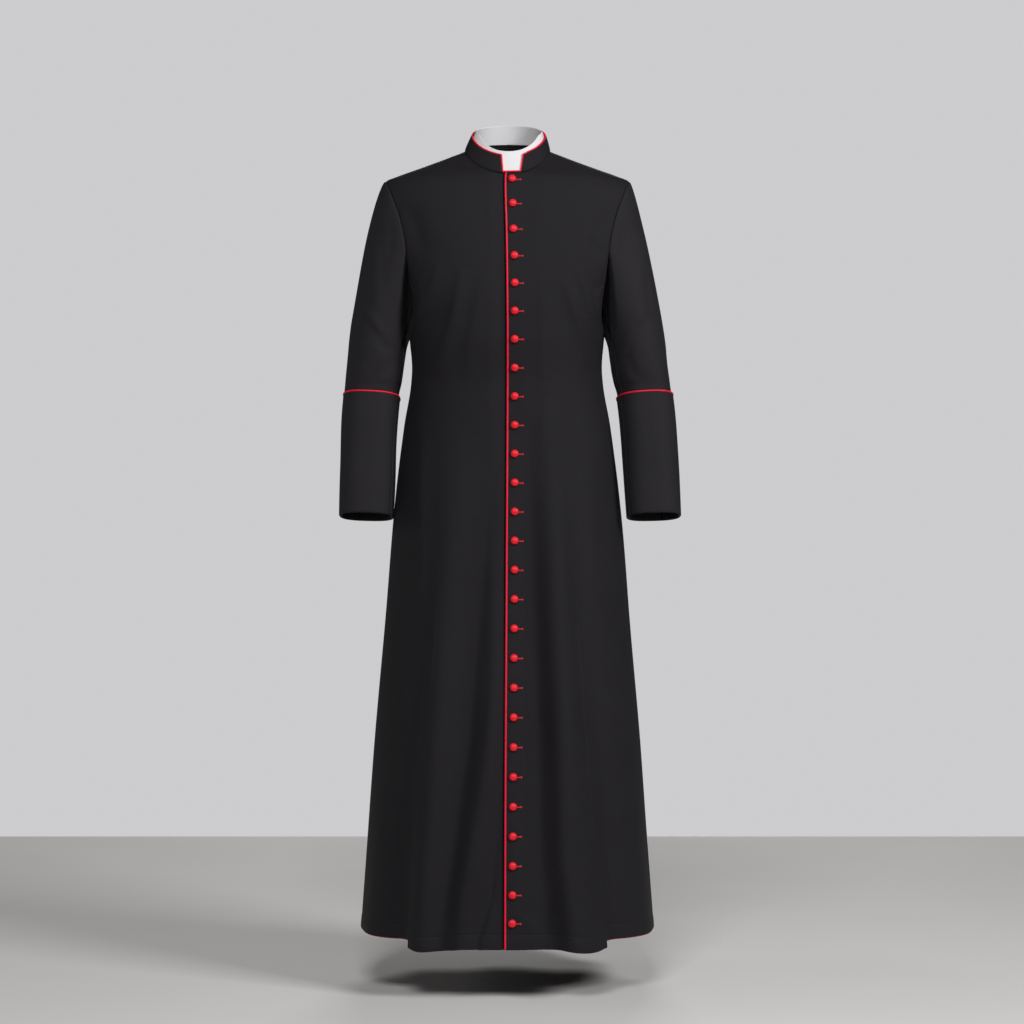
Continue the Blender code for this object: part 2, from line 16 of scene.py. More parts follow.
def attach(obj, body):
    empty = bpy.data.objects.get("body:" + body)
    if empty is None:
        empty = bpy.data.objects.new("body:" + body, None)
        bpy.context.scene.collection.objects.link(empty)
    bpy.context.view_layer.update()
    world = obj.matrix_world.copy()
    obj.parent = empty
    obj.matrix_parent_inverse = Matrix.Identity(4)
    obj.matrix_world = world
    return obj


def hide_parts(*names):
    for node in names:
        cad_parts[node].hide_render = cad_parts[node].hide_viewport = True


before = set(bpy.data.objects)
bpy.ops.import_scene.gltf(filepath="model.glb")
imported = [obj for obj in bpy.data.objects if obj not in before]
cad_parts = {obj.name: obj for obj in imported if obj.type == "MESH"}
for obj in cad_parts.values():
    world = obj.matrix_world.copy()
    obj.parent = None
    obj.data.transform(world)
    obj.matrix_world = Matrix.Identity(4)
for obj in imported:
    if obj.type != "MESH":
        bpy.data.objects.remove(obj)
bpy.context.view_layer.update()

# Cloth
WALL = 0.0011  # one layer of gabardine, drawn a little full
OUTER = 0.0006  # the cloth's outer face lies this far outside the panel's surface
TURN_UP = 0.026  # depth of the hem's turned part
TURN_RADIUS = 0.0013
TURN_BEND = (25, 60, 95, 130, 160)  # degrees round the hem's fold
NEAR = 0.020  # how far from a seam its marks are measured
SHARP = math.radians(50)  # edges that turn more than this stay crisp

# Body lengths, as drops below the side neck points
SIDE_NECK = -0.002
SHOULDER_TIP = 0.0571
SEAM_START = 0.25
UNDERARM = 0.346
FRONT_HEM, SIDE_HEM, BACK_HEM = 1.469, 1.461, 1.464
FRONT_DIP, DIP_AT, DIP_WIDTH = 0.007, 34, 10  # the hem's dip in front, in metres and degrees round
PRESSED_FROM, PRESSED_FULL = 0.78, 1.05  # where the lengthwise seams begin to show pressed
LAPPED_FROM, LAPPED_FULL = 0.74, 0.95  # where the front's seam becomes a lapped edge
LAP_UNDER, LAP_SINK = 0.0013, 0.0002  # how far the side panel runs under the front's lapped edge
HOLLOW_DEPTH, HOLLOW_REACH = 0.0065, 0.016  # how the cloth is drawn in round the armhole

# Front closing: the left front lies over the right one's underlap
NECK_SHIFT = 0.004  # the neck's middle lies this far to the wearer's left
RIGHT_EDGE = 0.035  # how far the underlap runs past the middle
LEFT_EDGE = dict(drop=[.049, .075, .17, .29, .36, .77, 1.30, 1.48],
                 out=[-.0010, -.0022, .0002, .0016, .0020, .0003, -.0022, -.0024])
# how far the underlap lies below its surroundings, and where from the middle it comes level
UNDERLAP_DROP, UNDERLAP_FROM, UNDERLAP_TO = 0.0031, 0.010, 0.034
DITCH_DEPTH, DITCH_WIDTH = 0.0036, 0.0014  # beside the left front's piped edge
NOTCH_RIGHT, NOTCH_LEFT = -0.0100, 0.0256  # the collar's ends on the neck seam
NOTCH_FLARE = {-1: 0.0016, 1: 0.0075}  # how much wider the notch is at its top, by side

# Trims
PIPING, EDGE_PIPING = 0.0016, 0.0019  # radii of the collar's and cuffs' cords, and the front's
HEM_TAPE_TALL, HEM_TAPE_SHOWS, HEM_TAPE_WALL = 0.010, 0.0014, 0.0007
BUTTON_RADIUS, BUTTON_HEIGHT, SHANK = 0.0074, 0.0052, 0.0024
BUTTON_COUNT = 27
FIRST_BUTTON = 0.0620
BUTTON_STEPS = dict(button=[1, 3, 6, 10, 20, 24, 26],
                    step=[.0464, .0500, .0522, .0533, .0536, .0526, .0503])
BUTTON_LINE = dict(drop=[.06, .15, .24, .60, 1.10, 1.42],
                   out=[.0088, .0108, .0135, .0133, .0107, .0086])
# the tucked rim under a button's dome and its shank: share of the radius, and height
BUTTON_RIM = [(0.985, -0.0004), (0.93, -0.0009), (0.80, -0.0013), (0.45, -0.0014),
              (0.26, -0.0016), (0.23, -0.0029), (0.0, -0.0029)]
BAR_START, BAR_END, BAR_BELOW = 0.0035, 0.0172, 0.0010  # a buttonhole's bar, from its button
IN_FRONT = -0.6  # a place well in front of the cloth

# How finely the meshes are drawn
LONG_ROWS, HEM_ROWS, ARM_ROWS = 185, 34, 46
COLUMNS, NECK_COLUMNS, COLUMN_CROWD = 88, 34, 0.6
RIGHT_COLUMNS, RIGHT_NECK_COLUMNS = 132, 62  # the right front is finer beside its ditch
RIGHT_CROWD, RIGHT_NECK_CROWD = (0.215, 0.05), (0.255, 0.05)  # place and reach of that finer part
SIDE_COLUMNS = 56
HEAD_ROWS, TUBE_ROWS, CUFF_ROWS = 56, 80, 46
NECK_PARTS, COLLAR_ROWS, INSERT_ROWS = 46, 18, 20
CORD_SIDES, BUTTON_SIDES, DOME_ROWS = 10, 24, 12
BAR_POINTS, BAR_SIDES = 46, 8

# The body form: half width to the side, depth to the front and the back, and how square a ring is
FORM = dict(
    drop=[-.030, -.018, -.002, .0117, .030, .0495, .0571, .080, .100, .137, .189, .239, .300, .352,
          .410, .440, .5165, .630, .715, .885, 1.112, 1.310, 1.470],
    half_width=[.050, .063, .0765, .1085, .1575, .2110, .2290, .248, .252, .247, .236, .221, .199,
                .1842, .1785, .1805, .1938, .2089, .2175, .2307, .2496, .2647, .277],
    front=[.025, .036, .045, .052, .065, .082, .086, .094, .099, .107, .116, .122, .125, .124,
           .118, .116, .120, .134, .146, .170, .203, .229, .248],
    back=[.045, .058, .062, .069, .080, .090, .093, .101, .107, .116, .124, .125, .119, .111,
          .101, .099, .108, .136, .155, .183, .221, .254, .280],
)
SQUARENESS = dict(drop=[0.0, .30, .70, 1.47], power=[2.25, 2.3, 2.25, 2.1])
NECK_FRONT = dict(out=[0, .22, .40, .60, .77, .89, .96, 1],
                  drop=[.049, .048, .0455, .039, .031, .0195, .008, SIDE_NECK])
NECK_BACK = dict(out=[0, .40, .70, .90, 1], drop=[-.018, -.0165, -.012, -.006, SIDE_NECK])
ARMHOLE_FRONT = dict(drop=[SHOULDER_TIP, .074, .137, .189, SEAM_START, .313, UNDERARM],
                     out=[.2290, .222, .1995, .1895, .1865, .1820, .1840])
ARMHOLE_BACK = dict(drop=[SHOULDER_TIP, .080, .137, .189, SEAM_START, .313, UNDERARM],
                    out=[.2290, .219, .202, .193, .187, .182, .1840])
FRONT_SEAM = dict(drop=[SEAM_START, .30, .352, .43, .60, .885, 1.035, 1.13, 1.247, 1.33, 1.475],
                  out=[.1865, .159, .139, .124, .125, .132, .141, .148, .159, .168, .179])
BACK_SEAM = dict(drop=[SEAM_START, .30, .352, .43, .60, .885, 1.10, 1.30, 1.475],
                 out=[.187, .160, .141, .120, .121, .130, .142, .156, .168])

# Skirt folds: (start angle, angle at the hem, starting drop, width, height at the hem), in degrees
FOLDS = [
    (31, 33, 0.55, 8.0, 0.018), (-38, -35, 0.50, 8.0, 0.020), (47, 48, 0.70, 5.0, -0.009),
    (-47, -48, 0.65, 5.0, -0.014), (64, 66, 0.80, 9.0, 0.006), (-62, -64, 0.80, 9.0, 0.007),
    (108, 110, 0.60, 8.0, 0.013), (-112, -114, 0.65, 8.5, 0.014), (124, 127, 0.55, 6.5, -0.013),
    (-128, -131, 0.60, 7.0, -0.012), (142, 145, 0.50, 8.0, 0.018), (-146, -148, 0.50, 8.5, 0.017),
    (158, 161, 0.60, 6.0, -0.011), (-163, -165, 0.70, 6.0, -0.012), (176, 179, 0.55, 7.0, 0.012),
]

# Creases in millimetres: (width towards the wearer's right, width towards the left, height, the
# line's places as out and drop). Hollows are negative.
FRONT_CREASES = [
    # right chest: the hollow inside the shoulder, and drag folds running in from under the arm
    (16, 16, -3.1, [(-182, 105), (-169, 156), (-154, 208)]),
    (9, 15, 4.6, [(-125, 223), (-162, 313), (-178, 371)]),
    (9, 16, 5.0, [(-82, 230), (-104, 334), (-138, 426)]),
    (11, 18, 2.6, [(-43, 238), (-69, 371), (-77, 437)]),
    (6, 9, 2.7, [(-162, 245), (-163, 289), (-169, 330)]),
    # left chest
    (8, 12, 4.4, [(130, 223), (152, 306), (162, 367)]),
    (9, 14, 4.4, [(101, 238), (132, 334), (149, 411)]),
    (14, 25, 3.2, [(69, 219), (69, 400), (73, 603)]),
    (7, 7, -2.3, [(154, 171), (165, 190), (180, 208)]),
    (7, 7, -2.6, [(139, 227), (152, 249), (167, 275)]),
    (15, 15, -2.6, [(187, 105), (173, 156), (163, 201)]),
    # the long folds from the waist, each a hollow and the roll beside it
    (20, 34, 3.4,
     [(-112, 437), (-117, 603), (-130, 867), (-131, 1098), (-151, 1383), (-162, 1903)]),
    (42, 20, -10.0,
     [(-29, 474), (-38, 696), (-56, 880), (-74, 1098), (-106, 1312), (-127, 1445), (-157, 1903)]),
    (18, 24, 9.0, [(-12, 770), (-17, 989), (-46, 1205), (-79, 1383), (-118, 1903)]),
    (40, 20, -9.0,
     [(32, 474), (41, 696), (48, 880), (56, 1098), (61, 1312), (77, 1445), (110, 1903)]),
    (30, 27, 19.0,
     [(78, 474), (87, 696), (92, 880), (101, 1098), (105, 1312), (121, 1445), (153, 1903)]),
    # lesser rolls at the hips
    (9, 12, 2.5, [(-160, 511), (-160, 696), (-161, 880)]),
    (12, 18, 2.8, [(141, 548), (152, 733), (159, 916)]),
    # beside the closing and near the hem
    (9, 7, -4.0, [(-14, 1205), (-21, 1294), (-28, 1374), (-53, 1445), (-67, 1558)]),
    (8, 12, 2.0, [(5, 1392), (48, 1436), (51, 1541)]),
    (10, 8, -2.4, [(73, 1383), (68, 1445), (64, 1558)]),
]
BACK_CREASES = [
    (18, 18, -3.0, [(-172, 125), (-160, 175), (-150, 225)]),
    (14, 14, 2.2, [(-150, 215), (-128, 270), (-118, 345)]),
    (13, 13, -1.8, [(-120, 235), (-104, 300), (-98, 365)]),
    (16, 16, 1.8, [(-92, 260), (-78, 330), (-74, 400)]),
    (18, 18, -2.8, [(175, 122), (163, 170), (151, 222)]),
    (13, 13, 2.2, [(148, 222), (131, 265), (115, 352)]),
    (12, 12, -1.7, [(121, 228), (108, 290), (95, 372)]),
    (15, 15, 1.5, [(88, 255), (80, 322), (70, 415)]),
    (14, 14, 2.0, [(-60, 395), (-20, 412), (35, 404)]),
    (11, 11, -1.5, [(-45, 421), (5, 430), (48, 420)]),
    (13, 13, 1.7, [(-12, 447), (30, 452), (66, 441)]),
    (20, 20, -2.1, [(-4, 95), (2, 200), (0, 360)]),
    (15, 15, 2.2, [(40, 560), (44, 770), (52, 1010)]),
    (15, 15, -2.1, [(-66, 570), (-72, 780), (-80, 1000)]),
    (14, 14, 2.0, [(-128, 545), (-130, 760), (-133, 980)]),
    (14, 14, -2.0, [(96, 565), (102, 790), (108, 1030)]),
]
# The sleeves', by side: two drag folds from the shoulder, and the inner elbow's soft breaks
SLEEVE_CREASES = {
    -1: [(4, 6, 1.5, [(-247, 185), (-258, 220), (-275, 275), (-291, 330), (-300, 370)]),
         (9, 14, 1.6, [(-243, 185), (-268, 265), (-288, 338)]),
         (10, 10, 2.8, [(-268, 300), (-246, 330), (-225, 372)]),
         (9, 9, -2.7, [(-262, 325), (-240, 352), (-220, 392)]),
         (8, 8, -2.3, [(-215, 140), (-212, 168), (-222, 205)]),
         (12, 12, 2.7, [(-244, 160), (-246, 240), (-242, 320)]),
         (10, 10, -2.3, [(-216, 390), (-232, 418), (-256, 436)])],
    1: [(6, 4, 1.5, [(250, 140), (257, 180), (266, 240), (274, 288), (286, 325), (300, 385)]),
        (14, 9, 1.6, [(246, 150), (264, 243), (282, 328)]),
        (10, 10, 2.8, [(262, 290), (243, 325), (222, 370)]),
        (9, 9, -2.7, [(258, 318), (238, 348), (218, 396)]),
        (8, 8, -2.1, [(216, 145), (212, 175), (220, 212)]),
        (12, 12, 2.6, [(246, 150), (248, 235), (244, 330)]),
        (10, 10, -2.3, [(220, 386), (236, 420), (262, 438)])],
}

# Sleeve tube: drop and place of each ring's middle, its half sizes, how many degrees its front is
# tipped up and its outer side is raised, and how square it is
ARM = dict(
    drop=[.375, .430, .456, .520, .600, .692],
    out=[.2459, .2518, .2556, .2602, .2628, .2645],
    forward=[-.002, .000, .002, .012, .027, .044],
    half_out=[.0531, .0520, .0502, .0500, .0495, .0480],
    half_deep=[.0720, .0640, .0590, .0560, .0510, .0455],
    tip=[0, 4, 9, 10, 10, 10],
    lean=[7, 5, 3, 2.5, 2, 1.5],
    power=[2.2, 2.6, 2.7, 2.8, 2.8, 2.7],
)
# Under the front of the arm the sleeve folds back beside the body: how wide the fold's mouth is and
# how far back its floor lies
TUCK = dict(drop=[.195, .226, .264, .300, .330, .352, .380],
            width=[.0005, .0035, .0085, .0125, .0140, .0130, .0125],
            floor=[-.072, -.052, -.024, -.004, .006, .012, .012])
TUCK_BEGINS, TUCK_ENDS = (0.195, 0.215), (0.385, 0.42)  # drops over which it opens and closes
TUCK_LIP = 0.0040, 0.0020  # how far inside and outside its mouth the cloth turns into it
ARM_ROUNDER = {1: 0.9, -1: 0.0}  # how much rounder the rings' inner half is, by side
ROUNDER_ENDS = (0.44, 0.50)  # drops over which that is lost
# how much further out the left arm is held than the right
ARM_REACH = dict(drop=[.41, .49, .60, .692], out=[0, .004, .0075, .010])
TUBE_TOP, ELBOW, WRIST, CUFF_END = 0.375, 0.4660, 0.6875, 0.6900
CUFF_IN, CUFF_OUT, CUFF_WALL = 0.0012, 0.0026, 0.0009  # how far off the sleeve its layers lie
ARMHOLE_MIDDLE = 0.205
CAP_FULLNESS = {1: 0.030, -1: 0.055}  # how far the head runs on outwards before it turns, by side
TURNED_IN = ((0.004, 0.0032), (0.0010, 0.0022))  # seam allowance's rows: how far out, how deep
ARMHOLE_ROUND = 0.13  # the body's radius at the armhole, which turns an angle into a length

# Places round the arm, counted from the shoulder tip down the front
DOWN_PARTS, UNDER_PARTS = 7, 8  # coarse parts of the armhole's front or back, and under the arm
FOREARM_SEAM, HIND_SEAM = 8, 17
ROUND_PARTS = 6  # how many fine points stand for each coarse one
BESIDE = (-0.60, -0.32, -0.12, 0.12, 0.32, 0.60)  # places of the extra points beside a seam
FORE, HIND = FOREARM_SEAM * ROUND_PARTS + 3, HIND_SEAM * ROUND_PARTS + 9  # the seams' columns

# Collar: top edge as an ellipse about the neck's middle
COLLAR_TOP = dict(half_width=.0683, front=.061, back=.061, middle=-.011, side_drop=-.026,
                  front_drop=.0165, back_drop=-.052)
# its foot by the angle round the neck: how far outside the neck seam it stands, and how far above
COLLAR_FOOT = dict(turn=[0, 50, 78, 100, 130, 180],
                   out=[.0000, .0002, .0018, .0020, .0012, .0008],
                   up=[.0007, .0005, -.0004, -.0014, -.0030, -.0034])
INSERT_IN = 0.0027  # how far inside the collar's edge the insert stands
INSERT_ABOVE = dict(turn=[0, 18, 35, 50, 65, 90, 108, 180],
                    up=[.0085, .0087, .0103, .0120, .0137, .0098, .0040, .0040])
INSERT_LEAN = 0.0022  # how much further in its top stands at the sides
INSERT_FOOT = 0.0024  # how far above the neck seam it begins
COLLAR_WALL, INSERT_WALL, SOFT_EDGE = 0.0018, 0.0014, 0.0005
FOOT_IN, FOOT_DOWN = 0.0023, 0.0011  # how the collar's foot is turned in over the neck seam

# Studio
FLOOR, FLOOR_HALF = -1.566, 2.3  # the floor's height, below a garment that hangs clear of it
MIDDLE = (0, 0, -0.7)  # of the garment, where the lights point
CAMERA_PLACE, LENS, SENSOR = (0.0085, -5.2, -0.681), 96.68, 36.0


# ---------------------------------------------------------------- curves and the body form

def bell(away, width):
    """1 at 0 and falling on both sides: exp(-(away / width)^2)."""
    return np.exp(-(away / width) ** 2)


def hermite(start, leave, end, arrive, t):
    """The cubic from start to end that leaves and arrives in the given directions."""
    return (start * (1 + 2 * t) * (1 - t) ** 2 + leave * t * (1 - t) ** 2
            + end * t * t * (3 - 2 * t) - arrive * t * t * (1 - t))


def along(table, column, at, key="drop"):
    """Smooth curve through a table's column that never overshoots its rows, held at its ends: a
    cubic between rows, whose slope at a row is the harmonic mean of the slopes beside it."""
    xs = np.asarray(table[key], float)
    ys = np.asarray(table[column], float)
    at = np.clip(np.asarray(at, float), xs[0], xs[-1])
    step = np.diff(xs)
    slope = np.diff(ys) / step
    same_way = slope[:-1] * slope[1:]
    total = np.where(same_way > 0, slope[:-1] + slope[1:], 1.0)
    middle = np.where(same_way > 0, 2 * same_way / total, 0.0)
    tangent = np.concatenate((slope[:1], middle, slope[-1:]))
    i = np.clip(np.searchsorted(xs, at, side="right") - 1, 0, len(xs) - 2)
    t = (at - xs[i]) / step[i]
    return hermite(ys[i], tangent[i] * step[i], ys[i + 1], tangent[i + 1] * step[i], t)


def ramp(value, start, end):
    """0 before start, 1 after end, smooth between: 3 t^2 - 2 t^3."""
    t = np.clip((value - start) / (end - start), 0, 1)
    return t * t * (3 - 2 * t)


def lerp(a, b, t):
    """a + (b - a) t."""
    return a + (b - a) * t


def shares(count, crowd):
    """Shares from 0 to 1, drawn together at both ends: t - crowd sin(2 pi t) / (2 pi)."""
    t = np.linspace(0, 1, count)
    return t - crowd * np.sin(2 * math.pi * t) / (2 * math.pi)


def crowded(count, place, reach):
    """Shares from 0 to 1 at even steps of the summed density 1 + 5 bell(t - place, reach)
    + 1.2 bell(1 - t, 0.05): closest together round a place and at the last end."""
    t = np.linspace(0, 1, 2001)
    density = 1 + 5.0 * bell(t - place, reach) + 1.2 * bell(1 - t, 0.05)
    gone = np.concatenate(([0], np.cumsum((density[1:] + density[:-1]) / 2)))
    return np.interp(np.linspace(0, 1, count), gone / gone[-1], t)


def unit(vectors):
    """Each vector divided by its length."""
    return vectors / np.maximum(np.linalg.norm(vectors, axis=-1, keepdims=True), 1e-9)


def angle_at(out, drop, back=False):
    """Angle round the body, in radians, of the point this far out at this drop: its depth is
    depth (1 - (out / half)^p)^(1 / p)."""
    power = along(SQUARENESS, "power", drop)
    half = along(FORM, "half_width", drop)
    depth = along(FORM, "back" if back else "front", drop)
    share = np.clip(np.abs(out) / half, 0, 1)
    deep = depth * (1 - share ** power) ** (1 / power)
    return np.arctan2(out, -deep if back else deep)


def seam_angles(seam, drops, back=False):
    """Angles round the body of a seam's points at these drops."""
    return angle_at(along(seam, "out", drops), drops, back)


def fold_height(angle, drop):
    """How far the skirt's folds carry the cloth outwards: the sum of height (share down)^1.3
    bell(degrees from the fold's middle, width)."""
    degrees = np.degrees(angle)
    total = np.zeros(np.broadcast(angle, drop).shape)
    for start_angle, hem_angle, start, width, height in FOLDS:
        down = np.clip((drop - start) / (FRONT_HEM - start), 0, 1)
        middle = lerp(start_angle, hem_angle, down)
        away = (degrees - middle + 180) % 360 - 180
        total = total + height * down ** 1.3 * bell(away, width)
    return total


def body(angle, drop, inset=0.0):
    """Points of the body form: radius = ((|sin| / half)^p + (|cos| / depth)^p)^(-1 / p), plus the
    skirt's folds, less the inset."""
    angle, drop = np.broadcast_arrays(np.asarray(angle, float), np.asarray(drop, float))
    power = along(SQUARENESS, "power", drop)
    half = along(FORM, "half_width", drop)
    behind = np.abs(angle) > math.pi / 2
    depth = np.where(behind, along(FORM, "back", drop), along(FORM, "front", drop))
    across, ahead = np.abs(np.sin(angle)), np.abs(np.cos(angle))
    radius = ((across / half) ** power + (ahead / depth) ** power) ** (-1 / power)
    radius = radius + fold_height(angle, drop) - inset
    return np.stack((radius * np.sin(angle), -radius * np.cos(angle), -drop), -1)


def on_body(out, drop, side=1, back=False):
    """Points of the body form this far out to a side at these drops."""
    return body(angle_at(out, drop, back) * side, drop)


def crease_height(out, drop, table):
    """Sum of the table's creases: height bell(distance, width) sin(pi share along)^0.7, with one
    width on each side of the line."""
    places = np.stack((out, drop), -1)
    total = np.zeros(out.shape)
    for right_width, left_width, height, line in table:
        line = np.array(line) / 1000
        steps = np.diff(line, axis=0)
        lengths = np.linalg.norm(steps, axis=1)
        before = np.concatenate(([0], np.cumsum(lengths)))
        nearest, share, width = np.full(out.shape, np.inf), np.zeros(out.shape), np.ones(out.shape)
        for start, step, length, gone in zip(line, steps, lengths, before):
            t = np.clip(((places - start) @ step) / length ** 2, 0, 1)
            apart = places - start - t[..., None] * step
            away = np.linalg.norm(apart, axis=-1)
            leftward = step[1] * apart[..., 0] - step[0] * apart[..., 1] > 0
            closer = away < nearest
            nearest = np.where(closer, away, nearest)
            share = np.where(closer, (gone + t * length) / before[-1], share)
            width = np.where(closer, np.where(leftward, left_width, right_width) / 1000, width)
        ends = np.sin(math.pi * np.clip(share, 0, 1)) ** 0.7
        total = total + height / 1000 * bell(nearest, width) * ends
    return total


def unevenness(points, size, seed):
    """Slow waves of the cloth, about -1 to 1: a third of the sum of nine sines of seeded
    directions and lengths near this size, longer down than across."""
    rng = np.random.default_rng(seed)
    total = np.zeros(points.shape[:-1])
    for _ in range(9):
        direction = unit(rng.normal(size=3)) * np.array((1, 1, 0.45))
        total = total + np.sin(points @ direction * 2 * math.pi / (size * rng.uniform(0.7, 1.6))
                               + rng.uniform(0, 2 * math.pi))
    return total / 3


# ---------------------------------------------------------------- grids

def facing(points, flip, closed=False):
    """Unit normals of a grid of points: the step down crossed with the step across."""
    wide = np.concatenate((points[:, -1:], points, points[:, :1]), 1) if closed else points
    across = np.gradient(wide, axis=1)
    across = across[:, 1:-1] if closed else across
    normal = unit(np.cross(np.gradient(points, axis=0), across))
    return -normal if flip else normal


def walked(points, axis):
    """Distance walked along a grid's axis from its first row or column."""
    step = np.linalg.norm(np.diff(points, axis=axis), axis=-1)
    start = np.zeros_like(np.take(step, [0], axis=axis))
    return np.concatenate((start, np.cumsum(step, axis=axis)), axis=axis)


def to_end(distance, axis):
    """The distances that are left to the grid's last row or column."""
    return np.take(distance, [-1], axis=axis) - distance


def ringed(points):
    """A closed ring's grid with its first column repeated after the last."""
    return np.concatenate((points, points[:, :1]), 1)


def groove(distance, depth=0.0011, width=0.0022, lip=0.0004):
    """A seam's section: lip bell(distance - 6 mm, 5 mm) - depth bell(distance, width), a narrow dip
    on the seam line and a low rounded lip beside it."""
    return lip * bell(distance - 0.006, 0.005) - depth * bell(distance, width)


def sewn(distance):
    """A sleeve seam's section: 0.4 mm bell(distance - 5 mm, 2.5 mm) - 2.2 mm bell(distance,
    1.2 mm), a narrow ditch on the seam line, and the turning's edge beside it."""
    return 0.0004 * bell(distance - 0.0050, 0.0025) - 0.0022 * bell(distance, 0.0012)


def grid_mesh(name, points, uv, flip=False, closed=False):
    """Mesh of a grid of points, with its UV map in metres, facing the way its normals point."""
    rows, columns = points.shape[:2]
    wide = columns if closed else columns - 1
    index = np.arange(rows * columns).reshape(rows, columns)
    here, there = index[:, :wide], np.roll(index, -1, axis=1)[:, :wide]
    corner = np.arange(wide)
    spots = [(here[:-1], slice(0, -1), corner), (here[1:], slice(1, None), corner),
             (there[1:], slice(1, None), corner + 1), (there[:-1], slice(0, -1), corner + 1)]
    spots = spots[::-1] if flip else spots
    faces = np.stack([spot[0] for spot in spots], -1).reshape(-1, 4)
    placed = np.stack([uv[spot[1]][:, spot[2]] for spot in spots], -2).reshape(-1, 2)
    return quads_mesh(name, points.reshape(-1, 3), faces, placed)


def quads_mesh(name, verts, faces, uv=None):
    """Smooth mesh of vertices and four-cornered faces, and a UV pair for each face corner."""
    mesh = bpy.data.meshes.new(name)
    mesh.vertices.add(len(verts))
    mesh.vertices.foreach_set("co", np.asarray(verts, np.float32).ravel())
    mesh.loops.add(faces.size)
    mesh.loops.foreach_set("vertex_index", faces.astype(np.int32).ravel())
    mesh.polygons.add(len(faces))
    mesh.polygons.foreach_set("loop_start", np.arange(0, faces.size, 4, dtype=np.int32))
    mesh.update(calc_edges=True)
    if uv is not None:
        layer = mesh.uv_layers.new(name="cloth")
        layer.uv.foreach_set("vector", np.asarray(uv, np.float32).ravel())
    mesh.validate()
    mesh.shade_smooth()
    return mesh


def closeness(distance):
    """1 on a line, falling evenly to 0 at 20 mm from it."""
    return np.clip(1 - np.abs(distance) / NEAR, 0, 1)


def mark(mesh, name, values):
    """Stores a value for each point, which the cloth's material reads to groove the seams and paint
    shade along them.
    """
    layer = mesh.attributes.new(name, "FLOAT", "POINT")
    layer.data.foreach_set("value", np.asarray(values, np.float32).ravel())


def place(name, mesh, material):
    """Puts a mesh into the scene as an object at the origin."""
    made = bpy.data.objects.new(name, mesh)
    mesh.materials.append(material)
    bpy.context.scene.collection.objects.link(made)
    return made


def walls(piece, thickness, rounded=0.0):
    """Gives a sheet its thickness inwards from its outer face, and rounds the edges."""
    solid = piece.modifiers.new("wall", "SOLIDIFY")
    solid.thickness = thickness
    solid.offset = -1.0
    solid.use_rim = True
    if rounded:
        bevel = piece.modifiers.new("edge", "BEVEL")
        bevel.width = rounded
        bevel.segments = 2
        bevel.limit_method = "ANGLE"
        bevel.angle_limit = SHARP
    bpy.context.view_layer.update()
    built = piece.evaluated_get(bpy.context.evaluated_depsgraph_get())
    made = bpy.data.meshes.new_from_object(built)
    piece.modifiers.clear()
    piece.data = made
    made.name = piece.name
    made.set_sharp_from_angle(angle=SHARP)
    return piece


def finish(piece, nodes):
    """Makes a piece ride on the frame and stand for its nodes."""
    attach(piece, "root")
    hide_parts(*nodes)
    return piece


def sheet_piece(name, mesh, material, node_name, wall=WALL, rounded=0.0):
    """A piece of cloth from the mesh of its outer face, standing for one node."""
    return finish(walls(place(name, mesh, material), wall, rounded), [node_name])


def cut(piece, points, held, closed=False, **more):
    """Takes a sheet's points, with a closed ring's first column repeated after its last, and does
    nothing more.
    """
    if closed:
        points = ringed(points)


def tube_mesh(name, path, reference, radius, closed=False):
    """A round cord: path + radius (cos(turn) side + sin(turn) up), circles square to the path,
    capped where it is open.

    reference is a direction, or one for each point, that is never along the path. The cord's own
    UV runs round it in shares and along it in metres.
    """
    if closed:
        ahead = np.gradient(np.concatenate((path[-1:], path, path[:1])), axis=0)[1:-1]
    else:
        ahead = np.gradient(path, axis=0)
    ahead = unit(ahead)
    side = unit(np.cross(ahead, np.broadcast_to(reference, path.shape)))
    up = np.cross(side, ahead)
    turn = np.linspace(0, 2 * math.pi, CORD_SIDES, endpoint=False)[None, :, None]
    points = path[:, None] + radius * (np.cos(turn) * side[:, None] + np.sin(turn) * up[:, None])
    if closed:
        points = np.concatenate((points, points[:1]))
    else:
        first, last = (end[:, None].repeat(CORD_SIDES, 1) for end in (path[:1], path[-1:]))
        points = np.concatenate((first, points, last))
    length = walked(points.mean(1, keepdims=True), 0)
    uv = np.stack(np.broadcast_arrays(np.linspace(0, 1, CORD_SIDES + 1)[None], length), -1)
    return weld(grid_mesh(name, points, uv, closed=True))


def cord_piece(name, node_name, path, reference, radius, material, closed=False):
    """A piped cord standing for its node."""
    mesh = tube_mesh(name, path, reference, radius, closed)
    return finish(place(name, mesh, material), [node_name])


def forms_mesh(name, points):
    """One mesh of many small forms: points are form by form, ring by ring and round each ring."""
    count, rows, sides = points.shape[:3]
    index = np.arange(rows * sides).reshape(rows, sides)
    there = np.roll(index, -1, 1)
    faces = np.stack((index[:-1], there[:-1], there[1:], index[1:]), -1).reshape(-1, 4)
    faces = (faces[None] + (np.arange(count) * rows * sides)[:, None, None]).reshape(-1, 4)
    return weld(quads_mesh(name, points.reshape(-1, 3), faces))


def weld(mesh):
    """Joins points that lie on one another, so seams and poles are closed, and faces outwards."""
    work = bmesh.new()
    work.from_mesh(mesh)
    bmesh.ops.remove_doubles(work, verts=work.verts, dist=1e-6)
    bmesh.ops.recalc_face_normals(work, faces=work.faces)
    work.to_mesh(mesh)
    work.free()
    mesh.shade_smooth()
    return mesh


# ---------------------------------------------------------------- panels

def neck_drop(out, side, back=False):
    """Drop of the neck seam this far out to a side, read from the table by its share of the way."""
    shift = NECK_SHIFT * side
    limit = along(FORM, "half_width", SIDE_NECK)
    share = np.clip(np.abs(out - shift) / (limit - shift), 0, 1)
    return along(NECK_BACK if back else NECK_FRONT, "drop", share, key="out")


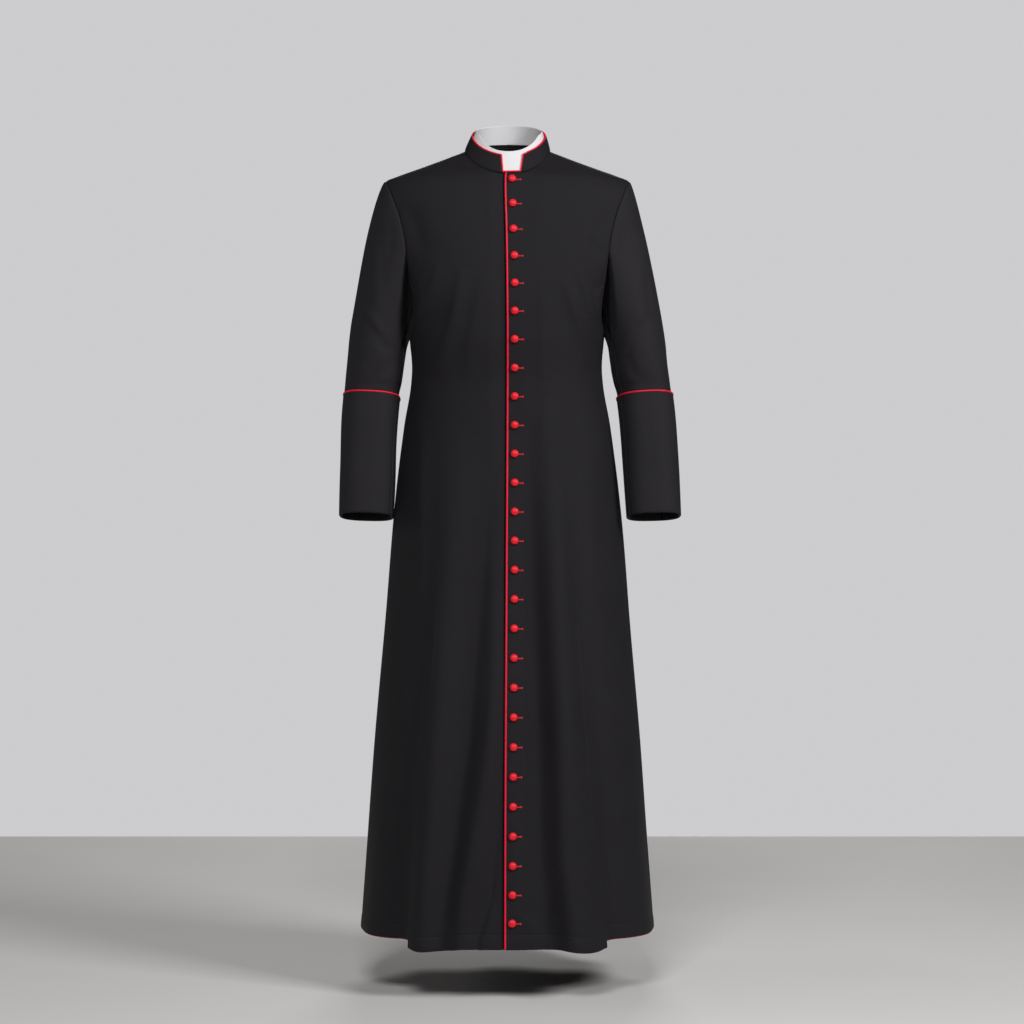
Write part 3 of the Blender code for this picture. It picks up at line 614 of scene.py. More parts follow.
def neck_outs(start, side, share):
    """Places out along the neck seam, from a start to the side neck point: shift + reach
    sin(turn)."""
    shift = NECK_SHIFT * side
    reach = float(along(FORM, "half_width", SIDE_NECK)) - shift
    return shift + reach * np.sin(lerp(math.asin((start - shift) / reach), math.pi / 2, share))


def arm_drops(parts):
    """Drops of the rows between the shoulder and the start of the princess seam, as share^1.5."""
    return lerp(SHOULDER_TIP, SEAM_START, (np.arange(parts + 1) / parts) ** 1.5)


def long_drops(hem):
    """Drops of the rows from the start of the princess seam to the hem, as share^1.06, and even and
    closer over the hem's turn-up."""
    turn = hem - 1.35 * TURN_UP
    upper = lerp(SEAM_START, turn, np.linspace(0, 1, LONG_ROWS + 1)[:-1] ** 1.06)
    return np.concatenate((upper, np.linspace(turn, hem, HEM_ROWS)))


def coons(top, bottom, left, right, down, across):
    """Fills a patch between four borders: the two ruled surfaces added, less the corners' own."""
    v, u = np.asarray(down)[:, None, None], np.asarray(across)[None, :, None]
    corners = lerp(lerp(top[0], top[-1], u), lerp(bottom[0], bottom[-1], u), v)
    return lerp(top[None], bottom[None], v) + lerp(left[:, None], right[:, None], u) - corners


def half_panel(side, back):
    """(angle, drop) grid of a front or a back, drawn for the wearer's left: below the armhole each
    row runs evenly in angle from edge to seam, and above it a patch fills the four borders."""
    columns, neck_columns = COLUMNS, NECK_COLUMNS
    across, neck_share = shares(columns, COLUMN_CROWD), np.linspace(0, 1, neck_columns)
    if not back and side < 0:
        columns, neck_columns = RIGHT_COLUMNS, RIGHT_NECK_COLUMNS
        across = crowded(columns, *RIGHT_CROWD)
        neck_share = crowded(neck_columns, *RIGHT_NECK_CROWD)
    drops = long_drops(BACK_HEM if back else FRONT_HEM)
    rows = arm_drops(ARM_ROWS)
    if not back and side > 0:
        low_edge, high_edge = along(LEFT_EDGE, "out", drops), along(LEFT_EDGE, "out", rows)
    else:
        straight = 0.0 if back else -RIGHT_EDGE
        low_edge, high_edge = np.full(len(drops), straight), np.full(len(rows), straight)
    neck = neck_outs(high_edge[0], side, neck_share)
    turn = lerp(SIDE_NECK, SHOULDER_TIP, np.linspace(0, 1, columns - neck_columns + 1)[1:])
    top = np.column_stack((np.append(neck, along(FORM, "half_width", turn)),
                           np.append(neck_drop(neck, side, back), turn)))
    seam, armhole = (BACK_SEAM, ARMHOLE_BACK) if back else (FRONT_SEAM, ARMHOLE_FRONT)
    edge_angles = angle_at(low_edge, drops, back)[:, None]
    low_angles = lerp(edge_angles, seam_angles(seam, drops, back)[:, None], across[None])
    low_drops = np.broadcast_to(drops[:, None], low_angles.shape)

    share = (rows - SHOULDER_TIP) / (SEAM_START - SHOULDER_TIP)
    bottom = np.column_stack((body(low_angles[0], low_drops[0])[:, 0], low_drops[0]))
    left = np.column_stack((high_edge, lerp(top[0, 1], SEAM_START, share)))
    right = np.column_stack((along(armhole, "out", rows), rows))
    upper = coons(top, bottom, left, right, share, across)
    upper_angles = angle_at(upper[..., 0], upper[..., 1], back)
    angles = np.vstack((upper_angles[:-1], low_angles))
    drops = np.vstack((upper[:-1, :, 1], low_drops))
    if not back:
        dip = FRONT_DIP * bell(np.degrees(angles) - DIP_AT, DIP_WIDTH)
        drops = drops + dip * ramp(drops, FRONT_HEM - 0.07, FRONT_HEM)
    return angles, drops


def low_armhole(parts):
    """(angle, drop) of the armhole's points under the arm, from the front seam to the back one: the
    drop goes as sin(pi share)^0.8."""
    share = np.linspace(0, 1, parts + 1)
    drops = lerp(SEAM_START, UNDERARM, np.sin(math.pi * share) ** 0.8)
    front, rear = seam_angles(ARMHOLE_FRONT, drops), seam_angles(ARMHOLE_BACK, drops, back=True)
    angles = np.where(share < 0.5, front, rear)
    angles[parts // 2] = math.pi / 2
    return angles, drops


def side_panel():
    """(angle, drop) grid of a side panel: rows run evenly in angle from seam to seam, and a patch
    fills the part between them and the armhole."""
    drops = long_drops(SIDE_HEM)
    across = np.linspace(0, 1, SIDE_COLUMNS + 1)
    front, rear = seam_angles(FRONT_SEAM, drops), seam_angles(BACK_SEAM, drops, back=True)
    angles = lerp(front[:, None], rear[:, None], across[None])
    rows = np.broadcast_to(drops[:, None], angles.shape)
    level = len(drops) // 3
    top = np.column_stack(low_armhole(SIDE_COLUMNS))
    bottom = np.column_stack((angles[level], rows[level]))
    left = np.column_stack((front[:level + 1], drops[:level + 1]))
    right = np.column_stack((rear[:level + 1], drops[:level + 1]))
    upper = coons(top, bottom, left, right, np.linspace(0, 1, level + 1), across)
    return tuple(np.vstack((upper[:-1, :, i], low[level:])) for i, low in enumerate((angles, rows)))


def hollow(drop):
    """How deep the cloth is drawn in at the armhole: depth times a ramp that grows downwards, and
    by four fifths less again towards the underarm."""
    return HOLLOW_DEPTH * ramp(drop, 0.18, 0.29) * (1 - 0.8 * ramp(drop, 0.318, UNDERARM))


def body_relief(points):
    """Creases and slow waves of the body's cloth, the same for every panel at the same place: the
    front's creases fade out towards the side, the back's fade in, and the neck is calm. The waves
    are 0.5 mm high and about 130 mm long, and 0.9 mm high and about 340 mm long."""
    out, drop = points[..., 0], -points[..., 2]
    ahead, behind = ramp(-points[..., 1], 0.0, 0.05), ramp(points[..., 1], 0.0, 0.05)
    waves = 0.0005 * unevenness(points, 0.13, 3) + 0.0009 * unevenness(points, 0.34, 8)
    calm = ramp(drop, 0.03, 0.12)
    return (crease_height(out, drop, FRONT_CREASES) * ahead
            + crease_height(out, drop, BACK_CREASES) * behind + waves * calm)


def hem_relief(points):
    """The turn-up: 0.6 mm of fullness below its stitched line, and the line's 0.7 mm groove."""
    height = to_end(walked(points, 0), 0)
    fullness = 0.0006 * (1 - ramp(height, 0.5 * TURN_UP, TURN_UP))
    return fullness - 0.0007 * bell(height - TURN_UP, 0.0015)


def lap(distance, low):
    """The front's lapped edge on the skirt: low (1.2 mm to the edge, gone 9 mm away, less 0.3 mm
    bell(distance, 0.9 mm)), a low ridge on the seam line, rounded down at its end."""
    return low * (0.0012 * (1 - ramp(distance, 0.0025, 0.009)) - 0.0003 * bell(distance, 0.0009))


def turned_up(points, flip):
    """Carries a panel on round its hem, as an arc of the turn's radius, and up behind itself, by
    every third row, as deep as the turn-up."""
    normal = facing(points, flip)
    down = unit(points[-1] - points[-2])
    turn = np.radians(TURN_BEND)[:, None, None]
    bend = points[-1] + TURN_RADIUS * ((np.cos(turn) - 1) * normal[-1] + np.sin(turn) * down)
    height = to_end(walked(points, 0), 0)[:, 0]
    behind = np.flatnonzero(height < TURN_UP)[::-3]
    return np.concatenate((points, bend, points[behind] - 2 * TURN_RADIUS * normal[behind]))


def panel_grid(side, kind):
    """Outer face of a panel: the body form, drawn in at the armhole, with its creases, seam grooves
    and hem added along its normals. Also each point's closeness to a plain seam or to the
    underlap's ditch, where the cloth's material paints shade, and its facing."""
    back = kind == "back"
    flip = (side < 0) != back
    if kind == "side":
        angles, drops = side_panel()
        inset = -OUTER + hollow(drops) * bell(walked(body(angles, drops), 0), HOLLOW_REACH)
    else:
        angles, drops = half_panel(side, back)
        inset = -OUTER
        if kind == "front" and side < 0:
            # the underlap lies lower, with a ditch beside the left front's piped edge
            from_middle = body(angles, drops)[..., 0]
            ditch = 2 * EDGE_PIPING + 0.0002 - along(LEFT_EDGE, "out", drops)
            inset = (inset + UNDERLAP_DROP * (1 - ramp(from_middle, UNDERLAP_FROM, UNDERLAP_TO))
                     + DITCH_DEPTH * bell(from_middle - ditch, DITCH_WIDTH))
        near = to_end(walked(body(angles, drops), 1), 1) / HOLLOW_REACH
        below = np.maximum(drops - SEAM_START, 0) / HOLLOW_REACH
        inset = inset + hollow(drops) * np.exp(-near ** 2 - below ** 2)
    points = body(angles * side, drops, inset)
    normal = facing(points, flip)
    drop = -points[..., 2]
    from_first, from_top = walked(points, 1), walked(points, 0)
    from_last = to_end(from_first, 1)
    pressed = lerp(0.04, 1.0, ramp(drop, PRESSED_FROM, PRESSED_FULL))
    armhole = ramp(drop, SEAM_START + 0.012, SEAM_START)
    lapped = ramp(drop, LAPPED_FROM, LAPPED_FULL)
    fore = pressed * (1 - lapped)
    relief = (body_relief(points) + groove(from_top)
              + armhole * groove(from_last, 0.0009, 0.0013, 0)
              + groove(from_last) * (fore if kind == "front" else pressed))
    if kind != "front":
        relief = relief + groove(from_first) * (fore if kind == "side" else pressed)
    if kind == "front":
        beside = ramp(points[..., 0] * side, 0.002, 0.03)
        relief = relief * lerp(0.35, 1.0, beside) + lap(from_last, lapped)
    elif kind == "side":
        relief = relief - 0.0002 * bell(from_first, 0.006) * lapped
    relief = relief + hem_relief(points)
    # marks along the plain seams above the princess seam's start, and along the underlap's ditch,
    # where the cloth's material paints shade
    lines = np.zeros(points.shape[:2])
    if kind != "side":
        lines = closeness(from_last) * (drop < SEAM_START)
    if kind == "front" and side < 0:
        lines = np.maximum(lines, closeness(-points[..., 0] - ditch))
    points = points + normal * relief[..., None]
    if kind == "side":
        under = LAP_UNDER * unit(points[:, 0] - points[:, 1]) - LAP_SINK * normal[:, 0]
        points[:, 0] += lapped[:, :1] * under
    return points, lines, flip


def cloth_uv(points, middle=False):
    """Places in the flat cut, in metres: across from the straight edge or the middle, and down."""
    across = walked(points, 1)
    across = (across - to_end(across, 1)) * 0.5 if middle else across
    return np.stack((across, -walked(points, 0)), -1)


def ring_uv(around, points):
    """The same for a closed ring, from the walk round it and the one down its first column."""
    return np.stack((around, -np.broadcast_to(walked(points, 0)[:, :1], around.shape)), -1)


def make_panel(side, word, kind, material):
    """One of the six panels, with its outer face's points and those with the hem's turn-up."""
    outer, lines, flip = panel_grid(side, kind)
    points = outer if kind == "side" else turned_up(outer, flip)
    name = f"cloth_{kind}_{word}"
    mesh = grid_mesh(name, points, cloth_uv(points, kind == "side"), flip)
    # the mark tells the cloth's material where to paint shade along the seams
    mark(mesh, "seam_groove_and_shade", np.pad(lines, ((0, len(points) - len(lines)), (0, 0))))
    return sheet_piece(name, mesh, material, f"{kind}_{word}"), outer, points


# ---------------------------------------------------------------- sleeves and cuffs

def armhole_places():
    """(angle, drop) round the armhole: from the shoulder tip down the front, under the arm and up
    the back, with three more points close to each side of the sleeve's lengthwise seams."""
    drops = arm_drops(DOWN_PARTS * ROUND_PARTS)
    front = np.column_stack((seam_angles(ARMHOLE_FRONT, drops), drops))
    rear = np.column_stack((seam_angles(ARMHOLE_BACK, drops, back=True), drops))
    under = np.column_stack(low_armhole(UNDER_PARTS * ROUND_PARTS))
    places = np.vstack((front, under[1:], rear[-2:0:-1]))
    count = np.arange(len(places))
    close = [seam * ROUND_PARTS + step for seam in (FOREARM_SEAM, HIND_SEAM) for step in BESIDE]
    at = np.sort(np.concatenate((count, close)))
    return np.stack([np.interp(at, count, column) for column in places.T])


def armhole_loop(side):
    """Points of the armhole's seam."""
    angles, drops = armhole_places()
    return body(angles * side, drops, hollow(drops))


def allowance(side):
    """Two rows of the sleeve head's seam allowance, turned in behind the panels' edges: each point
    steps away from the armhole's middle, and in by its row's depth."""
    angles, drops = armhole_places()
    across, down = (angles - math.pi / 2) * ARMHOLE_ROUND, drops - ARMHOLE_MIDDLE
    away = np.hypot(across, down)
    return np.stack([body((angles + across / away * reach / ARMHOLE_ROUND) * side,
                          drops + down / away * reach, hollow(drops) + deep)
                     for reach, deep in TURNED_IN])


def arm_angles(loop):
    """Angle round the arm of each armhole point: 0 outside, a quarter turn at the front."""
    return np.unwrap(np.arctan2(-loop[:, 1], ARMHOLE_MIDDLE + loop[:, 2]))


def arm_rings(angles, drops, side, out=0.0):
    """Rings of the sleeve: middle + half_out cos(angle) sideways + half_deep sin(angle) ahead, both
    divided by (|cos|^power + |sin|^power)^(1 / power), which squares the ring a little, then leant
    and tipped."""
    drops = np.asarray(drops, float)
    level = {name: along(ARM, name, drops)[:, None] for name in ARM if name != "drop"}
    reach = along(ARM_REACH, "out", drops)[:, None] * (side > 0)
    out = np.broadcast_to(out, drops.shape)[:, None]
    tip, lean = np.radians(level["tip"]), np.radians(level["lean"])
    rounder = ARM_ROUNDER[side] * (1 - ramp(drops, *ROUNDER_ENDS))[:, None]
    power = np.where(np.cos(angles) < 0, lerp(level["power"], 2.0, rounder), level["power"])
    square = (np.abs(np.cos(angles)) ** power + np.abs(np.sin(angles)) ** power) ** (-1 / power)
    wide = (level["half_out"] * square + out) * np.cos(angles)
    deep = (level["half_deep"] * square + out) * np.sin(angles)
    x = level["out"] + reach + wide * np.cos(lean)
    y = -level["forward"] - deep * np.cos(tip)
    z = -drops[:, None] + wide * np.sin(lean) + deep * np.sin(tip)
    return np.stack((x * side, y, z), -1)


def sleeve_head(loop, angles, side, share):
    """Rows that carry the armhole's points out and down to the tube: a cubic for each, that leaves
    outwards over the shoulder and downwards under the arm, and arrives down the arm."""
    under = (1 - np.cos(angles))[:, None] / 2
    start = loop + 0.0003 * np.array((side, 0, 0))
    end = arm_rings(angles, [TUBE_TOP], side)[0]
    length = np.linalg.norm(end - start, axis=1, keepdims=True)
    forward = np.sin(angles)[:, None]
    leave = np.hstack((side * lerp(1.0, 0.45, under), -0.15 * forward, lerp(-0.12, -0.9, under)))
    leave = leave * lerp(CAP_FULLNESS[side], 0.02, under)
    arrive = np.array((side * 0.11, 0.0, -1.0)) * length * 0.9
    return hermite(start, leave, end, arrive, np.asarray(share)[:, None, None])


def tucked_back(points, from_top):
    """Pushes the cloth beside the armhole's lower front back to the fold's floor: y becomes
    y + (1 - ramp across the mouth) (floor - y) wherever the floor lies behind. The share is eased
    twice down and round, a quarter from each neighbour, and is nothing on the seam itself."""
    out, drop = np.abs(points[..., 0]), -points[..., 2]
    beside = out - along(ARMHOLE_FRONT, "out", drop)
    mouth, floor = along(TUCK, "width", drop), along(TUCK, "floor", drop)
    lip = 1 - ramp(beside, mouth - TUCK_LIP[0], mouth + TUCK_LIP[1])
    inside = lip * ramp(drop, *TUCK_BEGINS)
    for _ in range(2):
        inside[1:-1] = (inside[:-2] + 2 * inside[1:-1] + inside[2:]) / 4
        inside = (np.roll(inside, 1, 1) + 2 * inside + np.roll(inside, -1, 1)) / 4
    inside = inside * ramp(from_top, -0.0005, 0.0012) * (1 - ramp(drop, *TUCK_ENDS))
    back = inside * np.maximum(floor - points[..., 1], 0)
    return points + back[..., None] * np.array((0, 1.0, 0))


def sleeve_grid(side):
    """Outer face of the whole sleeve, rows down the arm of points round it, and the same without
    its tuck, which is how the cloth was cut."""
    loop = armhole_loop(side)
    angles = arm_angles(loop)
    share = (np.arange(HEAD_ROWS) / HEAD_ROWS) ** 1.5
    points = np.vstack((sleeve_head(loop, angles, side, share),
                        arm_rings(angles, np.linspace(TUBE_TOP, WRIST, TUBE_ROWS), side)))
    flip = side > 0
    normal = facing(points, flip, closed=True)
    out, drop = points[..., 0], -points[..., 2]
    ahead = ramp(np.sin(angles), -0.1, 0.35)[None]
    waves = (0.0005 * unevenness(points, 0.10, 21 + side)
             + 0.0007 * unevenness(points, 0.24, 31 + side))
    from_top = walked(points, 0)
    calm = ramp(from_top, 0.004, 0.05)
    relief = OUTER + (crease_height(out, drop, SLEEVE_CREASES[side]) * ahead + waves) * calm
    relief = relief + groove(from_top, 0.0009, 0.0020, 0.0001)
    points = points + normal * relief[..., None]
    turned = allowance(side)
    return np.vstack((turned, tucked_back(points, from_top))), np.vstack((turned, points)), flip


def make_sleeve(side, word, material):
    """The two pieces of a sleeve, each between the forearm seam and the hind seam."""
    whole, plain, flip = sleeve_grid(side)
    count = whole.shape[1]
    for part, picked in (("under", np.arange(FORE, HIND + 1)),
                         ("upper", np.arange(HIND, count + FORE + 1) % count)):
        points, untucked = whole[:, picked], plain[:, picked]
        from_first, from_top = walked(untucked, 1), walked(untucked, 0)
        from_last = to_end(from_first, 1)
        relief = sewn(from_first) + sewn(from_last)
        points = points + facing(points, flip) * relief[..., None]
        name = f"cloth_sleeve_{part}_{word}"
        mesh = grid_mesh(name, points, cloth_uv(untucked, True), flip)
        # marks for the armhole seam, the lengthwise seams and their turnings, where the cloth's
        # material paints shade
        mark(mesh, "seam_groove_and_shade", closeness(from_top - from_top[2:3]))
        mark(mesh, "stitched", closeness(np.minimum(from_first, from_last)))
        piece = sheet_piece(name, mesh, material, f"sleeve_{part}_{word}")
        cut(piece, untucked, "hung", rests_on=[f"cloth_front_{word}", f"cloth_back_{word}"])


def make_cuff(side, word, material, piping_material):
    """A turned-back cuff, rings at a profile of drops and heights off the sleeve: out over its top
    edge, down the arm and round under the sleeve's end, with the piping on its top edge."""
    angles = arm_angles(armhole_loop(side))
    inner, outer = CUFF_IN, CUFF_OUT + OUTER
    profile = [(ELBOW + 0.0120, inner), (ELBOW + 0.0040, inner), (ELBOW + 0.0008, inner),
               (ELBOW + 0.0001, inner + 0.0005), (ELBOW - 0.0002, (inner + outer) / 2),
               (ELBOW + 0.0002, outer - 0.0004)]
    profile += [(drop, outer) for drop in np.linspace(ELBOW + 0.0012, CUFF_END - 0.0016, CUFF_ROWS)]
    profile += [(CUFF_END - 0.0007, outer - 0.0004), (CUFF_END, outer - 0.0015),
                (CUFF_END + 0.0002, 0.0004), (CUFF_END - 0.0004, -0.0014),
                (CUFF_END - 0.0018, -0.0022), (CUFF_END - 0.008, -0.0024),
                (CUFF_END - 0.020, -0.0024), (CUFF_END - 0.032, -0.0022)]
    profile = np.array(profile)
    points = arm_rings(angles, profile[:, 0], side, profile[:, 1])
    flip = side > 0
    normal = facing(points, flip, closed=True)
    loose = bell(profile[:, 0] - 0.575, 0.085)[:, None]
    waves = 0.0006 * unevenness(points, 0.11, 41 + side) * loose
    shown = ramp(profile[:, 1], inner + 0.0008, outer)[:, None]
    around = walked(ringed(points), 1)
    nearest = np.full(points.shape[:2], np.inf)
    for seam in (FORE, HIND):
        away = np.abs(around[:, :-1] - around[:, seam][:, None])
        nearest = np.minimum(nearest, away)
        waves = waves + sewn(away)
    points = points + normal * (waves * shown)[..., None]
    name = "cloth_cuff_" + word
    mesh = grid_mesh(name, points, ring_uv(around, points), flip, closed=True)
    # marks for the lengthwise seams, where the cloth's material paints shade
    mark(mesh, "stitched", closeness(nearest))
    piece = sheet_piece(name, mesh, material, "cuff_" + word, wall=CUFF_WALL)
    path = arm_rings(angles, [ELBOW - PIPING - 0.0002], side, CUFF_OUT + 0.0001)[0]
    piping = cord_piece("piping_cuff_" + word, "cuff_piping_" + word, even_path(path, 0.0020, True),
                        np.array((0, 0, 1.0)), PIPING, piping_material, closed=True)
    cut(piece, points, "folded", closed=True, with_pieces=[piping],
        rests_on=["cloth_sleeve_upper_" + word])


# ---------------------------------------------------------------- collar and insert

def neck_loop():
    """The neck seam from the notch's right end round the back to its left end."""
    halves = []
    for side, notch in ((-1, -NOTCH_RIGHT), (1, NOTCH_LEFT)):
        half = []
        for start, back in ((notch, False), (0.0, True)):
            out = neck_outs(start, side, np.linspace(0, 1, NECK_PARTS))
            half.append(on_body(out, neck_drop(out, side, back), side, back))
        halves.append(half)
    (right_front, right_back), (left_front, left_back) = halves
    return np.vstack((right_front[:-1], right_back[::-1], left_back[1:], left_front[-2::-1]))


def neck_turn(points):
    """Angle of points round the neck's middle, 0 in front."""
    return np.arctan2(points[:, 0] - NECK_SHIFT, -(points[:, 1] - COLLAR_TOP["middle"]))


def collar_top(base, flare=0.0):
    """Top edge of the collar above each point of its base: an ellipse about the neck's middle,
    half_width sin(turn) sideways and depth cos(turn) ahead, that drops from the sides to the front
    and rises to the back as |cos(turn)| to a power."""
    top = COLLAR_TOP
    turn = neck_turn(base)
    ahead = np.cos(turn)
    depth = np.where(ahead > 0, top["front"], top["back"])
    reach = np.where(ahead > 0, top["front_drop"], top["back_drop"]) - top["side_drop"]
    drop = top["side_drop"] + reach * np.abs(ahead) ** np.where(ahead > 0, 1.2, 0.8)
    x = 0.6 * NECK_SHIFT + top["half_width"] * np.sin(turn) + flare
    return np.column_stack((x, top["middle"] - depth * ahead, -drop))


def outward(points):
    """Level directions from the neck's middle to points."""
    middle = np.array((NECK_SHIFT, COLLAR_TOP["middle"], 0))
    return unit((points - middle) * np.array((1, 1, 0)))


def inward(points, distance):
    """Moves points towards the neck's middle, level."""
    return points - outward(points) * distance


def collar_grid():
    """Middle surface of the collar, ruled from its top edge to its foot, and its outer face, which
    bellies out by 0.9 mm + 0.5 mm sin(pi share down)."""
    base = neck_loop()
    from_start = walked(base[:, None], 0)
    near_end = np.minimum(from_start[:, 0], to_end(from_start, 0)[:, 0])
    right = np.arange(len(base)) < len(base) / 2
    flare = np.where(right, -NOTCH_FLARE[-1], NOTCH_FLARE[1]) * bell(near_end, 0.012)
    top = collar_top(base, flare)
    turn = np.degrees(np.abs(neck_turn(base)))
    base = inward(base, -along(COLLAR_FOOT, "out", turn, key="turn")[:, None])
    base[:, 2] += along(COLLAR_FOOT, "up", turn, key="turn")
    t = np.linspace(0, 1, COLLAR_ROWS)[:, None, None]
    middle = lerp(top[None], base[None], t)
    return middle, inward(middle, -0.0009 - 0.0005 * np.sin(math.pi * t))


def make_collar(material, piping_material):
    """The collar, with its foot turned in over the neck seam and its piping."""
    middle, points = collar_grid()
    points = inward(points, 0.0006 * bell(to_end(walked(points, 0), 0), 0.0016)[..., None])
    whole = np.concatenate((points, inward(points[-1:], FOOT_IN) - (0, 0, FOOT_DOWN)))
    mesh = grid_mesh("cloth_collar", whole, cloth_uv(whole))
    piece = sheet_piece("cloth_collar", mesh, material, "collar", wall=COLLAR_WALL,
                        rounded=SOFT_EDGE)
    cut(piece, points, "stretched", with_pieces=[make_collar_piping(middle, piping_material)],
        rests_on=["cloth_front_left", "cloth_front_right"])


def make_insert(material):
    """A closed white band inside the collar, higher than it, that also fills its notch: ruled from
    the collar's foot towards its top edge and as far above it as the table says."""
    out = np.linspace(NOTCH_LEFT, NOTCH_RIGHT, 24)[1:-1]
    base = np.vstack((neck_loop(), on_body(out, neck_drop(out, 1))))
    top = collar_top(base)
    turn = np.abs(neck_turn(base))[:, None]
    above = along(INSERT_ABOVE, "up", np.degrees(turn), key="turn")
    rise = (top - base)[:, 2:]
    t = np.linspace(0, 1, INSERT_ROWS)[:, None, None]
    points = lerp(base[None], top[None], lerp(1 + above / rise, INSERT_FOOT / rise, t))
    points = inward(points, INSERT_IN - 0.0007 + INSERT_LEAN * np.sin(turn) ** 2 * (1 - t))
    uv = ring_uv(walked(ringed(points), 1), points)
    mesh = grid_mesh("white_insert", points, uv, closed=True)
    piece = sheet_piece("white_insert", mesh, material, "collar_insert",
                        INSERT_WALL, SOFT_EDGE)
    cut(piece, points, "stretched", closed=True, rests_on=["cloth_collar"])


# ---------------------------------------------------------------- piping, tape and buttons

def even_path(path, spacing, closed=False):
    """The same path with its points this far apart."""
    if closed:
        path = np.concatenate((path, path[:1]))
    length = walked(path[:, None], 0)[:, 0]
    at = np.linspace(0, length[-1], int(length[-1] / spacing) + 1)
    even = np.stack([np.interp(at, length, path[:, i]) for i in range(3)], -1)
    return even[:-1] if closed else even


def softened(path, times):
    """A closed path with its corners eased: each point becomes half itself and a quarter of each
    neighbour, so many times."""
    for _ in range(times):
        path = (np.roll(path, 1, 0) + 2 * path + np.roll(path, -1, 0)) / 4
    return path


def make_collar_piping(middle, material):
    """Runs above the collar's top edge, down both ends and along the notch's foot."""
    seat = PIPING - 0.0002
    top = middle[0] + np.array((0, 0, seat))
    right = middle[:, 0] + np.array((seat, 0, 0))
    left = middle[::-1, -1] - np.array((seat, 0, 0))
    right[0], left[-1] = top[0] + (seat, 0, 0), top[-1] - (seat, 0, 0)
    foot = np.linspace(0, 1, 20)[1:-1, None]
    low = lerp(left[:1], right[-1:], foot) + np.array((0, 0, 0.0006))
    low[:, 1] = on_body(low[:, 0], -low[:, 2])[:, 1] - 0.0002
    path = np.vstack((top, left[::-1], low, right[::-1]))
    path = inward(softened(even_path(path, 0.0008, True), 5), -0.0004)
    return cord_piece("piping_collar", "collar_piping", path, outward(path), PIPING, material,
                      closed=True)


def make_front_piping(points, material):
    """Runs down the left front's free edge, on the middle of its thickness."""
    normal = facing(points, False)
    away = unit(points[:, 0] - points[:, 2])
    path = points[:, 0] + away * (EDGE_PIPING - 0.0004) - normal[:, 0] * WALL * 0.5
    return cord_piece("piping_front", "front_piping", even_path(path, 0.0022),
                      np.array((0, -1.0, 0)), EDGE_PIPING, material)


def make_hem_tape(points, side, word, material):
    """A woven tape inside the side panel's hem that shows just below it."""
    normal = facing(points, side < 0)
    edge = points[-1, 1:-1] - normal[-1, 1:-1] * (WALL + 0.0002)
    up = unit(points[-4, 1:-1] - points[-1, 1:-1])
    rows = np.linspace(-HEM_TAPE_SHOWS, HEM_TAPE_TALL - HEM_TAPE_SHOWS, 7)[::-1, None, None]
    strip = edge[None] + up[None] * rows
    name = "tape_hem_" + word
    mesh = grid_mesh(name, strip, cloth_uv(strip), side < 0)
    piece = sheet_piece(name, mesh, material, "hem_tape_" + word, HEM_TAPE_WALL)
    cut(piece, strip, "stretched", rests_on=["cloth_side_" + word])


def button_drops():
    """Drops of the buttons: the first, and the steps between them summed."""
    steps = along(BUTTON_STEPS, "step", np.arange(1, BUTTON_COUNT), key="button")
    return FIRST_BUTTON + np.concatenate(([0], np.cumsum(steps)))


def seats(tree, outs, drops):
    """Where lines from the front meet the cloth, and the way it faces there."""
    hits = [tree.ray_cast(Vector((float(out), IN_FRONT, -float(drop))), Vector((0, 1, 0)))
            for out, drop in zip(outs, drops)]
    return np.array([hit[0] for hit in hits]), np.array([hit[1] for hit in hits])


def make_buttons(tree, material):
    """Covered buttons: cloth drawn over a dome, radius sin(t) out and height cos(t)^0.92 up, a
    tucked rim and a short shank, turned about the way the cloth faces."""
    drops = button_drops()
    seat, facings = seats(tree, along(BUTTON_LINE, "out", drops), drops)
    t = np.radians(np.linspace(0, 90, DOME_ROWS))
    dome = np.column_stack((np.sin(t) * BUTTON_RADIUS, np.cos(t) ** 0.92 * BUTTON_HEIGHT))
    rim = np.array(BUTTON_RIM)
    rim[:, 0] *= BUTTON_RADIUS
    out, up = np.vstack((dome, rim)).T
    turn = np.linspace(0, 2 * math.pi, BUTTON_SIDES, endpoint=False)
    rings = np.stack((np.outer(out, np.cos(turn)), np.outer(out, np.sin(turn)),
                      np.repeat(up[:, None], BUTTON_SIDES, 1)), -1)
    side = unit(np.cross(np.array((0, 0, 1.0)), facings))
    axes = np.stack((side, np.cross(facings, side), facings), 1)
    points = np.einsum("rsk,nkj->nrsj", rings, axes) + (seat + facings * SHANK)[:, None, None]
    piece = place("covered_buttons", forms_mesh("covered_buttons", points), material)
    return finish(piece, [f"button_{n:02d}" for n in range(1, BUTTON_COUNT + 1)])


